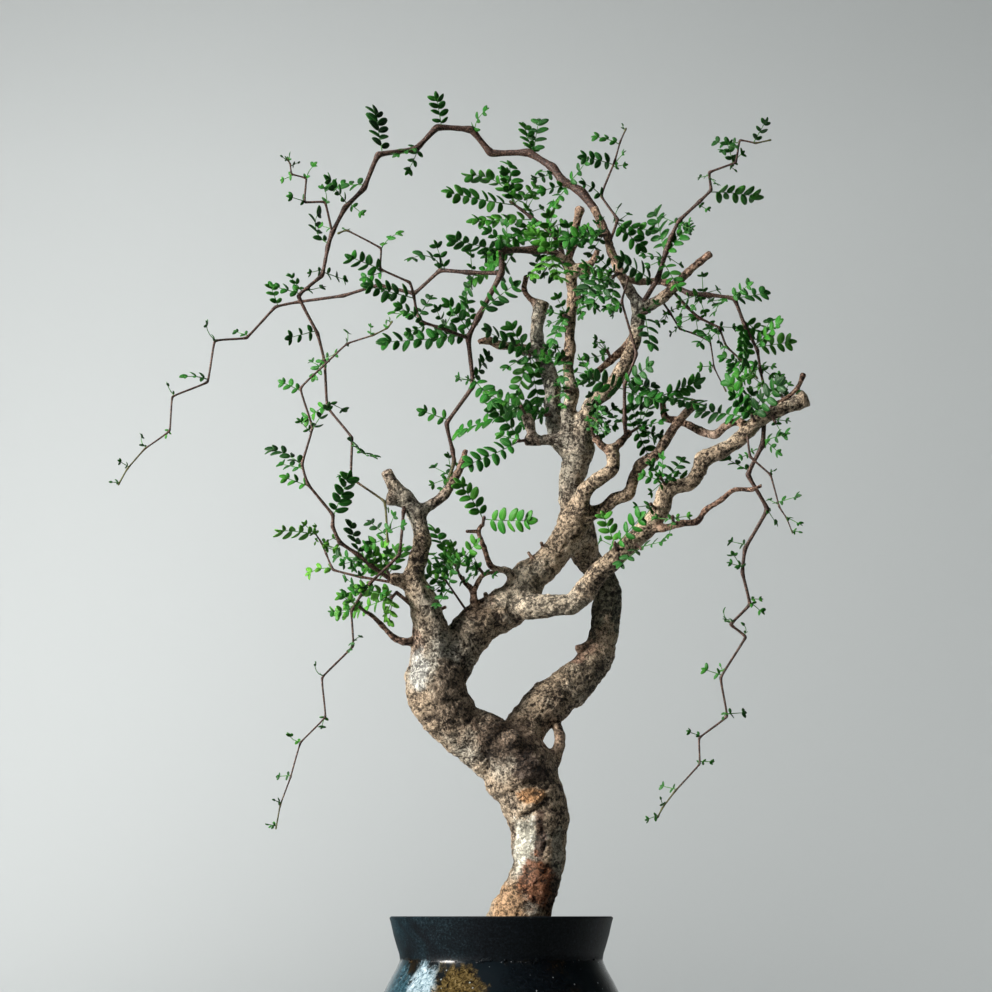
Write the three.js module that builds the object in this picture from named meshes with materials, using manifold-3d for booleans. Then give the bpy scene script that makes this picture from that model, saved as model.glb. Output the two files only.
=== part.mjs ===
// A commiphora bonsai in its round glazed pot. Millimetres, +Z up, the viewer looks along +Y.
// The origin lies on the pot's axis, at the table.
import * as THREE from "three";
import { mergeVertices } from "three/addons/utils/BufferGeometryUtils.js";
import Module from "manifold-3d";

const wasm = await Module();
wasm.setup();

// The pot
const rimHeight = 168;
const rimRadius = 78;
const neckRadius = 70.7;
const collarHeight = 30;
const bellyRadius = 99.5;
const footRadius = 64;
const wall = 6;
const floorThickness = 10;
const potSegments = 28;
const drainHoles = 3;
const drainHoleRadius = 6;
const drainHoleDistance = 22;

// What fills the pot
const screenRadius = 34;
const screenThickness = 1;
const soilBelowRim = 12;

// Fits and growth
const gap = 0.3;
const twigTaper = 1.5;

// Leaves: one arched blade each, cut to the rib into leaflets
const ribWidth = 1.2;
const ribHeight = 1.3;
const petioleShare = 0.18;
const knuckleShare = 1.2;
const knuckleSwell = 1.15;
const bandWidth = 1.6;
const bandRoom = 0.55;
const largestFoot = 6.5;
const leastClearance = 0.25;
const leafletDroop = 0.12;
const leafletForward = 62;
const leastOff = 28;
const widestLean = 48;
const leanStep = 13;
const leanTries = 15;
const leafNumbersPerShoot = 50;

const degree = Math.PI / 180;

// Wood: points on the middle of each limb, as [right, back, above the rim, radius]
const limbs = {
  trunk: [
    [0, 2, -59, 9.8], [4, 1, -33, 16.8], [8, 0, -14, 20.3], [13, 0, 0, 20.3], [19, 0, 15, 18.5],
    [25, 0, 32, 17.8], [26, 0, 49, 18.9], [26, 0, 68, 21.7], [21, 2, 84, 23.8], [13, 3, 101, 26.6],
    [4, 3, 117, 22.4],
  ],
  low_limb: [
    [9, 2, 107, 22.4], [-14, -3, 123, 19.9], [-27, -6, 130, 17.5], [-37, -8, 141, 18.9],
    [-44, -9, 152, 19.9], [-46, -10, 168, 20.3], [-48, -12, 182, 15.4], [-49, -15, 197, 12.6],
    [-52, -18, 212, 10.5], [-57, -20, 224, 9.4], [-61, -22, 235, 7.3], [-58, -23, 248, 6.3],
    [-55, -24, 260, 6.3], [-57, -25, 273, 5.6], [-59, -25, 284, 6.3],
  ],
  slant_limb: [
    [-43, -8, 163, 18.2], [-37, -6, 176, 16.8], [-27, -3, 190, 14.3], [-16, 0, 204, 14.3],
    [3, 2, 215, 14], [15, 4, 227, 12.6], [18, 5, 236, 11.9], [31, 6, 246, 10.5],
    [45, 6, 263, 10.5], [52, 5, 279, 11.2], [50, 4, 291, 9.1], [49, 3, 305, 8.4],
    [52, 2, 315, 9.8], [54, 1, 327, 11.2], [51, 0, 336, 8.4],
  ],
  loop_limb: [
    [6, 6, 112, 21], [20, 12, 136, 14], [33, 16, 149, 15.4], [51, 22, 163, 14],
    [65, 27, 179, 12.2], [72, 31, 198, 9.8], [74, 33, 215, 9.8], [75, 34, 228, 9.1],
    [72, 33, 239, 7.7], [62, 26, 249, 9.1], [58, 20, 257, 10.5], [55, 13, 271, 10.5],
    [52, 8, 283, 8.4],
  ],
  loop_stub: [
    [71, 28, 194, 4.9], [61, 22, 190, 3.1], [53, 18, 187, 2.8],
  ],
  ear: [
    [27, 4, 101, 6.3], [36, 2, 107, 4.5], [40, 2, 117, 3.8], [41, 5, 126, 3.5], [37, 12, 139, 4.2],
  ],
  low_knob: [
    [9, -14, 120, 7], [7, -23, 125, 5.6],
  ],
  left_stump: [
    [-59, -25, 280, 6.3], [-67, -27, 291, 5.6], [-74, -29, 298, 4.5], [-80, -31, 309, 3.8],
  ],
  left_knob: [
    [-69, -27, 289, 4.9], [-79, -30, 290, 4.2],
  ],
  left_fork: [
    [-57, -25, 281, 5.6], [-48, -22, 287, 3.5], [-40, -20, 293, 3.5], [-33, -19, 304, 3.1],
    [-27, -18, 316, 2.8], [-25, -18, 325, 1.8],
  ],
  red_knob: [
    [-62, -21, 230, 5.6], [-72, -26, 234, 4.5], [-77, -28, 234, 3.5],
  ],
  upright_stub: [
    [-50, -17, 210, 2.1], [-39, -19, 215, 1.1],
  ],
  side_limb: [
    [9, 0, 215, 9.8], [20, -8, 216, 9.1], [31, -11, 216, 7.7], [41, -13, 217, 7.3],
    [50, -14, 218, 7], [59, -15, 227, 7.7], [67, -16, 238, 7], [77, -17, 247, 7],
    [88, -18, 258, 6.6], [100, -19, 269, 6.6], [111, -20, 283, 6.3], [116, -21, 297, 6.3],
    [131, -23, 301, 4.9], [138, -24, 310, 5.2], [141, -25, 318, 5.6], [154, -26, 324, 5.2],
    [165, -27, 331, 5.2], [172, -28, 338, 5.2], [180, -29, 345, 4.9], [194, -31, 352, 4.5],
    [206, -32, 357, 4.9], [212, -33, 360, 5.6],
  ],
  right_low_twig: [
    [102, -19, 270, 4.2], [114, -25, 270, 2.8], [125, -28, 273, 2.7], [136, -31, 274, 2.4],
    [142, -33, 282, 2.2], [153, -34, 289, 2.1], [162, -35, 296, 1.8], [174, -36, 296, 1.7],
    [181, -37, 299, 1.5],
  ],
  right_mid_limb: [
    [172, -28, 339, 3.5], [166, -24, 344, 2.9], [157, -18, 342, 2.9], [149, -12, 336, 3.1],
    [139, -6, 339, 2.8], [132, -2, 343, 2.7], [122, 2, 347, 2.7], [115, 4, 349, 2.7],
    [113, 4, 360, 2.2],
  ],
  outer_limb: [
    [52, 2, 280, 7.7], [61, -2, 281, 5.6], [71, -4, 284, 4.2], [79, -6, 291, 4.2],
    [89, -8, 295, 4.2], [92, -9, 304, 3.8], [97, -10, 315, 3.8], [107, -11, 321, 3.5],
    [113, -12, 329, 3.5], [123, -14, 344, 3.1], [136, -16, 358, 3.4],
  ],
  inner_limb: [
    [51, 0, 281, 7.7], [56, -7, 285, 5.6], [58, -12, 296, 5.2], [67, -16, 304, 4.9],
    [77, -18, 311, 4.5], [78, -18, 320, 4.5], [77, -18, 328, 4.2],
  ],
  inner_arm: [
    [77, -18, 323, 3.5], [71, -19, 327, 2.8], [65, -20, 334, 2.8],
  ],
  outer_arm: [
    [77, -18, 325, 3.5], [83, -17, 330, 2.9], [90, -16, 338, 2.5],
  ],
  short_stub: [
    [49, 0, 329, 6.3], [41, -3, 332, 4.5], [35, -4, 333, 3.8], [24, -7, 332, 3.5],
    [17, -9, 332, 3.5],
  ],
  short_upright: [
    [27, -6, 332, 3.5], [22, -8, 335, 3.5], [20, -9, 343, 3.8], [17, -10, 350, 3.5],
  ],
  pale_upright: [
    [50, 2, 327, 9.1], [43, 5, 333, 8.4], [38, 8, 344, 6.3], [36, 10, 358, 5.9],
    [36, 11, 372, 5.9], [32, 12, 384, 5.9], [27, 13, 397, 5.2], [25, 14, 407, 4.5],
    [26, 15, 420, 4.5], [28, 16, 431, 5.6],
  ],
  pale_twig: [
    [25, 16, 430, 3.5], [20, 15, 434, 2.1], [16, 14, 440, 2.1], [18, 13, 450, 2],
  ],
  pale_branch: [
    [28, 13, 395, 4.2], [17, 9, 397, 3.5], [10, 7, 399, 3.1], [-1, 4, 400, 3.1], [-9, 2, 403, 2.8],
    [-16, 0, 402, 2],
  ],
  middle_upright: [
    [51, -2, 331, 7.7], [48, -4, 341, 6.3], [47, -5, 353, 5.2], [50, -6, 365, 4.5],
    [47, -6, 381, 3.8], [48, -6, 397, 3.8], [48, -6, 414, 3.8], [50, -6, 430, 3.8],
    [49, -5, 444, 3.8], [47, -4, 456, 4.2], [40, -3, 462, 3.1], [35, -2, 466, 2.8],
  ],
  crown_knob: [
    [49, -5, 451, 3.5], [55, -9, 452, 4.5], [61, -12, 452, 5.6],
  ],
  crown_knob_twig: [
    [61, -12, 454, 2.8], [65, -14, 459, 2.1], [67, -15, 464, 1.7],
  ],
  crown_stub: [
    [47, -5, 456, 2.8], [49, -8, 472, 2.4], [52, -9, 482, 2.8], [55, -10, 494, 3.1],
  ],
  arch_limb: [
    [54, -3, 330, 8.4], [57, -6, 338, 7], [59, -9, 348, 5.9], [63, -12, 357, 5.2],
    [72, -14, 365, 4.9], [78, -15, 371, 4.9], [84, -16, 381, 4.9], [89, -17, 390, 4.5],
    [93, -18, 401, 4.5], [95, -19, 414, 4.5], [96, -20, 425, 4.9], [90, -19, 436, 3.8],
    [83, -18, 449, 3.5], [77, -17, 463, 3.1], [74, -15, 475, 2.9], [70, -13, 484, 3.1],
    [65, -10, 495, 3.1],
  ],
  arch_side: [
    [93, -16, 406, 3.5], [88, -10, 399, 2.9], [82, -8, 393, 2.8], [76, -7, 388, 2.8],
    [68, -6, 381, 2.5],
  ],
  arch_fork: [
    [96, -20, 423, 4.9], [104, -23, 426, 4.2], [113, -26, 431, 3.8], [121, -29, 439, 3.5],
    [130, -31, 448, 2.9], [138, -32, 455, 2.7], [146, -33, 461, 2.5],
  ],
  arch_bridge: [
    [88, -19, 444, 2.8], [97, -15, 443, 2.4], [107, -15, 443, 2.4], [115, -19, 442, 2.4],
    [121, -28, 437, 2.8],
  ],
  tip_twig: [
    [186, -30, 348, 2.5], [190, -31, 355, 2], [197, -32, 359, 1.7], [206, -33, 367, 1.5],
    [210, -34, 376, 2],
  ],
  low_left_twig: [
    [-57, -13, 188, 4.2], [-63, -18, 191, 3.1], [-68, -20, 191, 2.8], [-75, -22, 194, 2.4],
    [-83, -24, 202, 2], [-90, -26, 209, 1.6], [-94, -27, 211, 1.5],
  ],
  thin_left_twig: [
    [-55, -18, 212, 2.4], [-64, -22, 218, 1.6], [-73, -25, 225, 1.3],
  ],
  arm_twig: [
    [10, 1, 235, 5.6], [4, -6, 241, 2.8], [-3, -10, 242, 2.2], [-8, -12, 245, 2.2],
    [-12, -14, 257, 2], [-16, -16, 268, 2], [-13, -16, 273, 1.5],
  ],
  arm_twig_stub: [
    [-16, -16, 268, 1.5], [-24, -17, 268, 1.1],
  ],
  wye: [
    [-17, -3, 214, 4.2], [-19, -8, 220, 2.9], [-20, -11, 227, 2.5], [-25, -12, 232, 1.8],
    [-30, -13, 239, 1.5],
  ],
  wye_arm: [
    [-20, -10, 225, 2.2], [-16, -14, 233, 1.8], [-12, -16, 238, 1.5], [-2, -18, 240, 1.1],
  ],
  bark_stub_one: [
    [33, 4, 248, 2.8], [28, 2, 261, 1.1],
  ],
  bark_stub_two: [
    [27, 3, 242, 2.8], [19, 0, 254, 1],
  ],
  bark_stub_three: [
    [-10, 0, 208, 2.8], [-11, -6, 225, 1.4],
  ],
};

// Leafy shoots: the twig's middle, with a leaf as [point, angle seen from the front, length, bend]
const shoots = [
  { name: "shoot_arch", from: "wood", base: 3.1, tip: 0.9,
    route: [[65, -10, 495], [56, -6, 507], [43, -2, 515], [36, 2, 525], [19, 8, 536],
      [-7, 10, 536], [-21, 8, 552], [-45, 2, 553], [-60, -6, 537], [-86, -14, 532],
      [-96, -20, 508], [-109, -24, 494], [-118, -27, 476], [-121, -29, 466], [-125, -31, 446],
      [-141, -35, 431], [-128, -33, 405], [-123, -31, 385], [-121, -32, 354], [-104, -38, 332],
      [-104, -42, 304], [-81, -46, 287], [-79, -44, 260]],
    leaves: [[2, 50, 22, 20], [2, 230, 21], [3, 150, 13], [3, 190, 18], [4, 81, 29],
      [6, 60, 18, -70], [7, 100, 24], [8, 245, 21, -20], [9, 100, 35], [10, 175, 27],
      [11, 130, 24], [11, 320, 13], [12, 160, 11], [13, 103, 26, -110], [14, 345, 17],
      [14, 222, 11], [15, 165, 21], [15, 128, 17], [15, 25, 14], [16, 200, 21], [17, 25, 11],
      [17, 262, 18], [18, 215, 21], [18, 330, 14], [19, 318, 25, 70], [20, 190, 10], [21, 280, 8],
      [22, 200, 18], [22, 140, 17], [22, 80, 15], [22, 20, 14]] },
  { name: "shoot_crown_down", from: "wood", base: 2.8, tip: 1.3,
    route: [[35, -2, 466], [23, -6, 466], [1, -12, 465], [0, -14, 449], [-16, -16, 418],
      [-23, -17, 403], [-20, -14, 370], [-38, -12, 344], [-34, -9, 325], [-33, -8, 317],
      [-37, -7, 304]],
    leaves: [[1, 100, 21], [1, 140, 22], [1, 250, 21], [1, 290, 20], [2, 170, 41, -15],
      [2, 140, 24], [2, 215, 18], [2, 250, 21], [4, 35, 32, -15], [5, 186, 63, -6], [5, 130, 29],
      [5, 100, 25], [6, 62, 25], [6, 185, 10], [6, 310, 28], [7, 162, 22], [10, 200, 15],
      [10, 150, 15], [10, 310, 14], [10, 90, 13]] },
  { name: "shoot_far_left", from: "shoot_crown_down", base: 1.7, tip: 0.6,
    route: [[0, -14, 449], [-23, -8, 450], [-43, 0, 452], [-61, 8, 437], [-86, 14, 443],
      [-111, 18, 436], [-142, 22, 432], [-159, 20, 428], [-179, 14, 406], [-201, 8, 403],
      [-206, 2, 374], [-230, -4, 363], [-232, -8, 339], [-249, -12, 326], [-261, -14, 312],
      [-267, -16, 301]],
    leaves: [[1, 95, 15], [1, 250, 25], [2, 170, 24, 120], [2, 110, 22], [4, 300, 10],
      [7, 110, 18], [8, 172, 11], [9, 120, 14, -80], [10, 193, 18, 30], [11, 120, 11, -40],
      [12, 240, 7], [13, 110, 10, -90], [14, 150, 8], [15, 180, 7]] },
  { name: "shoot_centre_left", from: "shoot_crown_down", base: 1.5, tip: 0.7,
    route: [[-23, -17, 403], [-42, -32, 409], [-55, -34, 413], [-59, -28, 420], [-61, -30, 432],
      [-64, -31, 441], [-84, -36, 450], [-84, -40, 464], [-107, -44, 476], [-113, -46, 474]],
    leaves: [[1, 60, 15], [1, 115, 17], [2, 150, 24], [2, 205, 17], [3, 175, 21], [3, 60, 18],
      [4, 168, 36], [6, 160, 27], [6, 200, 18], [7, 42, 20, -60], [8, 150, 6]] },
  { name: "shoot_upper_left", from: "shoot_arch", base: 1.1, tip: 0.6,
    route: [[-118, -27, 476], [-123, -31, 497], [-137, -34, 497], [-136, -37, 513],
      [-146, -39, 516], [-147, -40, 523], [-149, -41, 526]],
    leaves: [[1, 100, 13, 60], [2, 165, 14], [3, 60, 14, -50], [4, 202, 10], [5, 30, 7],
      [6, 150, 6], [6, 80, 6]] },
  { name: "shoot_left_climber", from: "wood", base: 1.7, tip: 0.6,
    route: [[-76, -28, 233], [-90, -34, 243], [-100, -38, 251], [-112, -42, 259], [-117, -45, 270],
      [-117, -46, 278], [-134, -50, 299], [-138, -52, 313], [-131, -54, 338], [-139, -56, 365],
      [-123, -56, 381], [-107, -56, 396], [-89, -56, 402], [-79, -56, 407], [-76, -57, 411]],
    leaves: [[1, 100, 21], [1, 168, 18], [2, 108, 27], [2, 175, 20], [2, 195, 17], [5, 68, 34],
      [6, 160, 21], [7, 153, 28, 40], [7, 165, 18], [8, 55, 21], [8, 125, 13], [9, 155, 17],
      [10, 150, 10], [11, 85, 11, 50], [12, 90, 8], [13, 70, 6], [14, 100, 5]] },
  { name: "shoot_low_left", from: "wood", base: 1.3, tip: 0.6,
    route: [[-69, -22, 231], [-98, -22, 236], [-117, -20, 241], [-122, -18, 252], [-126, -17, 261],
      [-130, -16, 267]],
    leaves: [[2, 190, 21, 70], [4, 25, 11], [4, 340, 13], [5, 176, 27, 10], [5, 100, 8], [5, 250, 6]] },
  { name: "shoot_left_hanging", from: "wood", base: 1.5, tip: 0.6,
    route: [[-67, -27, 289], [-68, -31, 281], [-71, -35, 251], [-91, -38, 231], [-97, -39, 223],
      [-104, -40, 211], [-103, -42, 187], [-124, -44, 165], [-122, -44, 138], [-139, -44, 120],
      [-146, -43, 96], [-153, -42, 77], [-156, -41, 61]],
    leaves: [[4, 140, 18], [4, 105, 13], [4, 345, 15], [4, 195, 17], [5, 185, 17], [6, 40, 8, -60],
      [6, 240, 8], [7, 120, 11, -110], [8, 250, 10], [9, 150, 11, -90], [10, 185, 10],
      [11, 160, 6], [12, 170, 7], [12, 205, 6]] },
  { name: "shoot_right_hanging", from: "wood", base: 1.8, tip: 0.6,
    route: [[183, -29, 345], [182, -27, 328], [172, -26, 307], [185, -25, 283], [170, -23, 256],
      [168, -22, 239], [173, -20, 217], [160, -19, 203], [170, -18, 194], [153, -17, 166],
      [157, -16, 139], [138, -15, 124], [138, -14, 106], [121, -13, 87], [112, -13, 75],
      [109, -12, 69]],
    leaves: [[1, 12, 18], [1, 316, 17], [2, 150, 21], [3, 303, 15], [4, 165, 13], [5, 125, 14],
      [5, 165, 11], [6, 320, 13], [6, 0, 10], [7, 120, 11, -110], [7, 175, 8], [8, 100, 8, 130],
      [9, 162, 15], [9, 110, 7], [10, 5, 14], [10, 232, 6], [11, 160, 11], [12, 0, 10],
      [12, 240, 7], [13, 165, 11], [14, 110, 7], [15, 200, 10]] },
  { name: "shoot_right_thin", from: "wood", base: 1.1, tip: 0.5,
    route: [[171, -30, 337], [173, -37, 319], [187, -38, 306], [193, -39, 284], [198, -40, 276],
      [202, -40, 266]],
    leaves: [[1, 200, 8], [1, 20, 6], [2, 30, 6], [3, 150, 8], [3, 15, 15], [4, 330, 13],
      [5, 350, 7]] },
  { name: "shoot_top", from: "wood", base: 1.4, tip: 0.6,
    route: [[76, -16, 471], [81, -22, 486], [70, -18, 503], [79, -22, 526], [83, -24, 540],
      [87, -25, 549]],
    leaves: [[1, 348, 28, 15], [1, 75, 15, -60], [2, 150, 18, 40], [3, 172, 24, 15], [3, 8, 10],
      [4, 165, 20, 30], [5, 110, 6]] },
  { name: "shoot_up_right", from: "wood", base: 2.1, tip: 0.6,
    route: [[98, -22, 426], [109, -28, 444], [115, -30, 463], [118, -31, 472], [124, -33, 484],
      [138, -36, 497], [146, -38, 505], [145, -40, 517], [163, -42, 524], [166, -44, 539],
      [177, -45, 537], [187, -46, 539]],
    leaves: [[1, 152, 31], [2, 92, 36], [2, 180, 17], [2, 205, 14], [2, 298, 24], [3, 38, 18],
      [4, 150, 13], [4, 20, 11], [5, 330, 10], [6, 355, 36, -15], [7, 190, 8], [7, 310, 8],
      [8, 100, 17], [8, 45, 13], [8, 320, 7], [9, 175, 18], [9, 205, 15], [10, 60, 18]] },
  { name: "shoot_right_zigzag", from: "wood", base: 2, tip: 1,
    route: [[122, -29, 438], [131, -34, 433], [143, -36, 432], [162, -37, 429], [169, -38, 411],
      [178, -39, 393], [180, -40, 379], [183, -40, 366]],
    leaves: [[2, 95, 14], [2, 15, 14], [2, 180, 18], [2, 290, 15], [3, 12, 27, 10],
      [3, 234, 17, 60], [4, 268, 32], [4, 300, 25], [5, 10, 27], [5, 60, 24, 20], [6, 180, 22],
      [6, 350, 11], [6, 205, 20], [7, 190, 11]] },
  { name: "shoot_right_inner", from: "wood", base: 1.4, tip: 0.8,
    route: [[119, -28, 436], [129, -24, 425], [138, -22, 417], [152, -22, 410], [157, -22, 397],
      [171, -23, 384], [178, -24, 375]],
    leaves: [[1, 250, 13], [2, 205, 15], [2, 280, 14], [3, 0, 14], [3, 232, 20], [4, 258, 11],
      [5, 155, 18], [6, 200, 20]] },
  { name: "shoot_right_slim", from: "wood", base: 1, tip: 0.6,
    route: [[111, -25, 430], [118, -16, 421], [125, -13, 410], [134, -12, 407], [146, -10, 401],
      [149, -9, 383], [157, -8, 367]],
    leaves: [[1, 20, 8], [1, 255, 10], [2, 220, 8], [2, 340, 7], [4, 45, 11], [5, 185, 11],
      [5, 250, 6]] },
  { name: "shoot_pale_riser", from: "wood", base: 1.7, tip: 0.7,
    route: [[87, -17, 334], [86, -25, 345], [86, -29, 370], [94, -32, 391], [84, -34, 427],
      [88, -34, 443], [76, -34, 463]],
    leaves: [[1, 150, 17], [2, 40, 24, -10], [2, 165, 31], [2, 345, 27], [4, 195, 15, 25]] },
  { name: "shoot_crown_left", from: "wood", base: 2.1, tip: 1,
    route: [[44, -4, 459], [40, 0, 473], [31, 4, 483], [21, 6, 490], [15, 7, 495], [7, 8, 501]],
    leaves: [[1, 25, 20], [2, 70, 21], [3, 183, 46], [4, 60, 15], [4, 25, 13], [5, 95, 34],
      [5, 172, 50, -8], [5, 150, 42, 80]] },
  { name: "spray_stub_end", from: "wood", base: 1.4, tip: 1.1,
    route: [[17, -9, 332], [12, -20, 331]],
    leaves: [[1, 206, 43, -10], [1, 133, 35, 20], [1, 165, 18]] },
  { name: "spray_stub_top", from: "wood", base: 1.4, tip: 1.1,
    route: [[17, -10, 350], [14, -20, 355]],
    leaves: [[1, 197, 49], [1, 155, 29], [1, 180, 22], [1, 110, 14]] },
  { name: "spray_pale_middle", from: "wood", base: 1.4, tip: 1.1,
    route: [[18, 9, 396], [20, -2, 392]],
    leaves: [[1, 252, 35], [1, 155, 35], [1, 215, 21], [1, 350, 24]] },
  { name: "spray_pale_low", from: "wood", base: 1.4, tip: 1.1,
    route: [[36, 10, 352], [31, -4, 350]],
    leaves: [[1, 168, 32, 20], [1, 200, 20], [1, 130, 14]] },
  { name: "spray_middle_high", from: "wood", base: 1.4, tip: 1.1,
    route: [[49, -6, 418], [44, -17, 419]],
    leaves: [[1, 245, 24], [1, 205, 15], [1, 120, 17]] },
  { name: "spray_middle_right", from: "wood", base: 1.4, tip: 1.1,
    route: [[50, -6, 431], [55, -17, 432]],
    leaves: [[1, 20, 18], [1, 330, 17], [1, 75, 15]] },
  { name: "spray_middle_low", from: "wood", base: 1.4, tip: 1.1,
    route: [[48, -6, 391], [43, -16, 388]],
    leaves: [[1, 170, 18], [1, 150, 17], [1, 262, 18]] },
  { name: "spray_middle_foot", from: "wood", base: 1.4, tip: 1.1,
    route: [[49, -6, 366], [45, -17, 366]],
    leaves: [[1, 200, 14], [1, 150, 10]] },
  { name: "spray_arch_foot", from: "wood", base: 1.4, tip: 1.1,
    route: [[61, -10, 350], [67, -19, 345]],
    leaves: [[1, 35, 18], [1, 340, 17], [1, 290, 15], [1, 100, 17]] },
  { name: "spray_arch_side", from: "wood", base: 1.4, tip: 1.1,
    route: [[68, -6, 381], [63, -16, 376]],
    leaves: [[1, 125, 17], [1, 165, 15], [1, 215, 14]] },
  { name: "spray_arch_side_knob", from: "wood", base: 1.4, tip: 1.1,
    route: [[77, -7, 389], [74, -17, 394]],
    leaves: [[1, 120, 10], [1, 190, 17]] },
  { name: "spray_inner_arm", from: "wood", base: 1.4, tip: 1.1,
    route: [[65, -20, 333], [63, -30, 339]],
    leaves: [[1, 60, 17], [1, 20, 11], [1, 110, 11]] },
  { name: "spray_outer_arm", from: "wood", base: 1.4, tip: 1.1,
    route: [[90, -16, 337], [97, -6, 342]],
    leaves: [[1, 62, 24], [1, 15, 20], [1, 295, 24], [1, 120, 17]] },
  { name: "spray_mid_limb", from: "wood", base: 1.4, tip: 1.1,
    route: [[113, 4, 359], [111, -7, 365]],
    leaves: [[1, 150, 22], [1, 22, 32], [1, 195, 25], [1, 340, 17]] },
  { name: "spray_side_one", from: "wood", base: 1.4, tip: 1.1,
    route: [[81, -17, 251], [79, -31, 259]],
    leaves: [[1, 112, 25], [1, 48, 28], [1, 150, 13]] },
  { name: "spray_side_two", from: "wood", base: 1.4, tip: 1.1,
    route: [[93, -19, 260], [97, -34, 255]],
    leaves: [[1, 222, 21], [1, 12, 18]] },
  { name: "spray_side_three", from: "wood", base: 1.4, tip: 1.1,
    route: [[109, -20, 282], [104, -34, 286]],
    leaves: [[1, 190, 13], [1, 235, 14]] },
  { name: "spray_side_four", from: "wood", base: 1.4, tip: 1.1,
    route: [[116, -21, 298], [111, -34, 304]],
    leaves: [[1, 88, 18], [1, 165, 17], [1, 222, 14], [1, 52, 24]] },
  { name: "spray_low_twig", from: "wood", base: 1.4, tip: 1.1,
    route: [[120, -27, 272], [119, -38, 277]],
    leaves: [[1, 8, 13], [1, 175, 14], [1, 275, 13]] },
  { name: "spray_tip_big", from: "wood", base: 1.4, tip: 1.1,
    route: [[177, -29, 343], [174, -43, 347]],
    leaves: [[1, 50, 31], [1, 168, 38], [1, 135, 24], [1, 95, 22]] },
  { name: "spray_tip_twig", from: "wood", base: 1.4, tip: 1.1,
    route: [[197, -32, 359], [195, -21, 363]],
    leaves: [[1, 12, 14], [1, 150, 18]] },
  { name: "spray_tip_under", from: "wood", base: 1.4, tip: 1.1,
    route: [[188, -30, 350], [190, -41, 343]],
    leaves: [[1, 298, 13], [1, 352, 11]] },
  { name: "spray_slant_thin", from: "wood", base: 1.1, tip: 0.8,
    route: [[-23, -8, 211], [-39, -20, 234]],
    leaves: [[1, 214, 21], [1, 159, 17], [1, 81, 20], [1, 237, 18]] },
  { name: "spray_wye_left", from: "wood", base: 1.4, tip: 1.1,
    route: [[-30, -13, 239], [-32, -23, 245]],
    leaves: [[1, 122, 34], [1, 152, 22], [1, 50, 24], [1, 190, 17]] },
  { name: "spray_wye_right", from: "wood", base: 1.4, tip: 1.1,
    route: [[-12, -16, 238], [-15, -27, 241]],
    leaves: [[1, 142, 20], [1, 165, 18], [1, 330, 11]] },
  { name: "spray_arm_end", from: "wood", base: 1.4, tip: 1.1,
    route: [[-13, -16, 272], [-12, -27, 277]],
    leaves: [[1, 357, 35, 8], [1, 125, 34, 20]] },
  { name: "spray_red_knob", from: "wood", base: 1.4, tip: 1.1,
    route: [[-76, -28, 234], [-80, -19, 241]],
    leaves: [[1, 130, 24], [1, 95, 22], [1, 55, 24], [1, 165, 18]] },
  { name: "spray_thin_left", from: "wood", base: 1.4, tip: 1.1,
    route: [[-73, -25, 225], [-76, -36, 221]],
    leaves: [[1, 262, 20], [1, 200, 28], [1, 168, 28]] },
  { name: "spray_low_left", from: "wood", base: 1.4, tip: 1.1,
    route: [[-94, -27, 211], [-98, -38, 214]],
    leaves: [[1, 125, 13], [1, 190, 20]] },
  { name: "spray_crown_front", from: "wood", base: 1.4, tip: 1.1,
    route: [[39, -3, 463], [33, -15, 463]],
    leaves: [[1, 93, 29], [1, 130, 24], [1, 235, 24], [1, 310, 21]] },
  { name: "spray_crown_right", from: "wood", base: 1.4, tip: 1.1,
    route: [[74, -15, 476], [69, -26, 474]],
    leaves: [[1, 185, 29], [1, 150, 15], [1, 232, 17]] },
  { name: "spray_arch_middle", from: "wood", base: 1.4, tip: 1.1,
    route: [[83, -18, 450], [78, -28, 445]],
    leaves: [[1, 168, 24], [1, 212, 31], [1, 140, 17]] },
  { name: "spray_arch_right", from: "wood", base: 1.4, tip: 1.1,
    route: [[95, -19, 419], [101, -29, 420]],
    leaves: [[1, 278, 27], [1, 40, 13]] },
  { name: "spray_crown_middle", from: "wood", base: 1.4, tip: 1.1,
    route: [[49, -6, 461], [52, -15, 468]],
    leaves: [[1, 44, 18], [1, 109, 20], [1, 169, 14]] },
];

// A seeded draw between 0 and 1, started anew for each leaf
function draws(start) {
  let state = (start * 7919 + 4211) % 4294967296;
  const next = () => {
    state = (state * 1664525 + 1013904223) % 4294967296;
    return state / 4294967296;
  };
  next();
  next();
  return next;
}

function toPoint([right, back, above]) {
  return new THREE.Vector3(right, back, rimHeight + above);
}

// A closed geometry from loose corners and triangles, turned so that its faces point out
function closedGeometry(corners, triangles) {
  const position = corners.flatMap((corner) => [corner.x, corner.y, corner.z]);
  let volume = 0;
  for (const [a, b, c] of triangles) {
    volume += corners[a].dot(corners[b].clone().cross(corners[c]));
  }
  const turned = volume < 0 ? triangles.map(([a, b, c]) => [a, c, b]) : triangles;
  const geometry = new THREE.BufferGeometry();
  geometry.setAttribute("position", new THREE.Float32BufferAttribute(position, 3));
  geometry.setIndex(turned.flat());
  return geometry;
}

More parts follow.
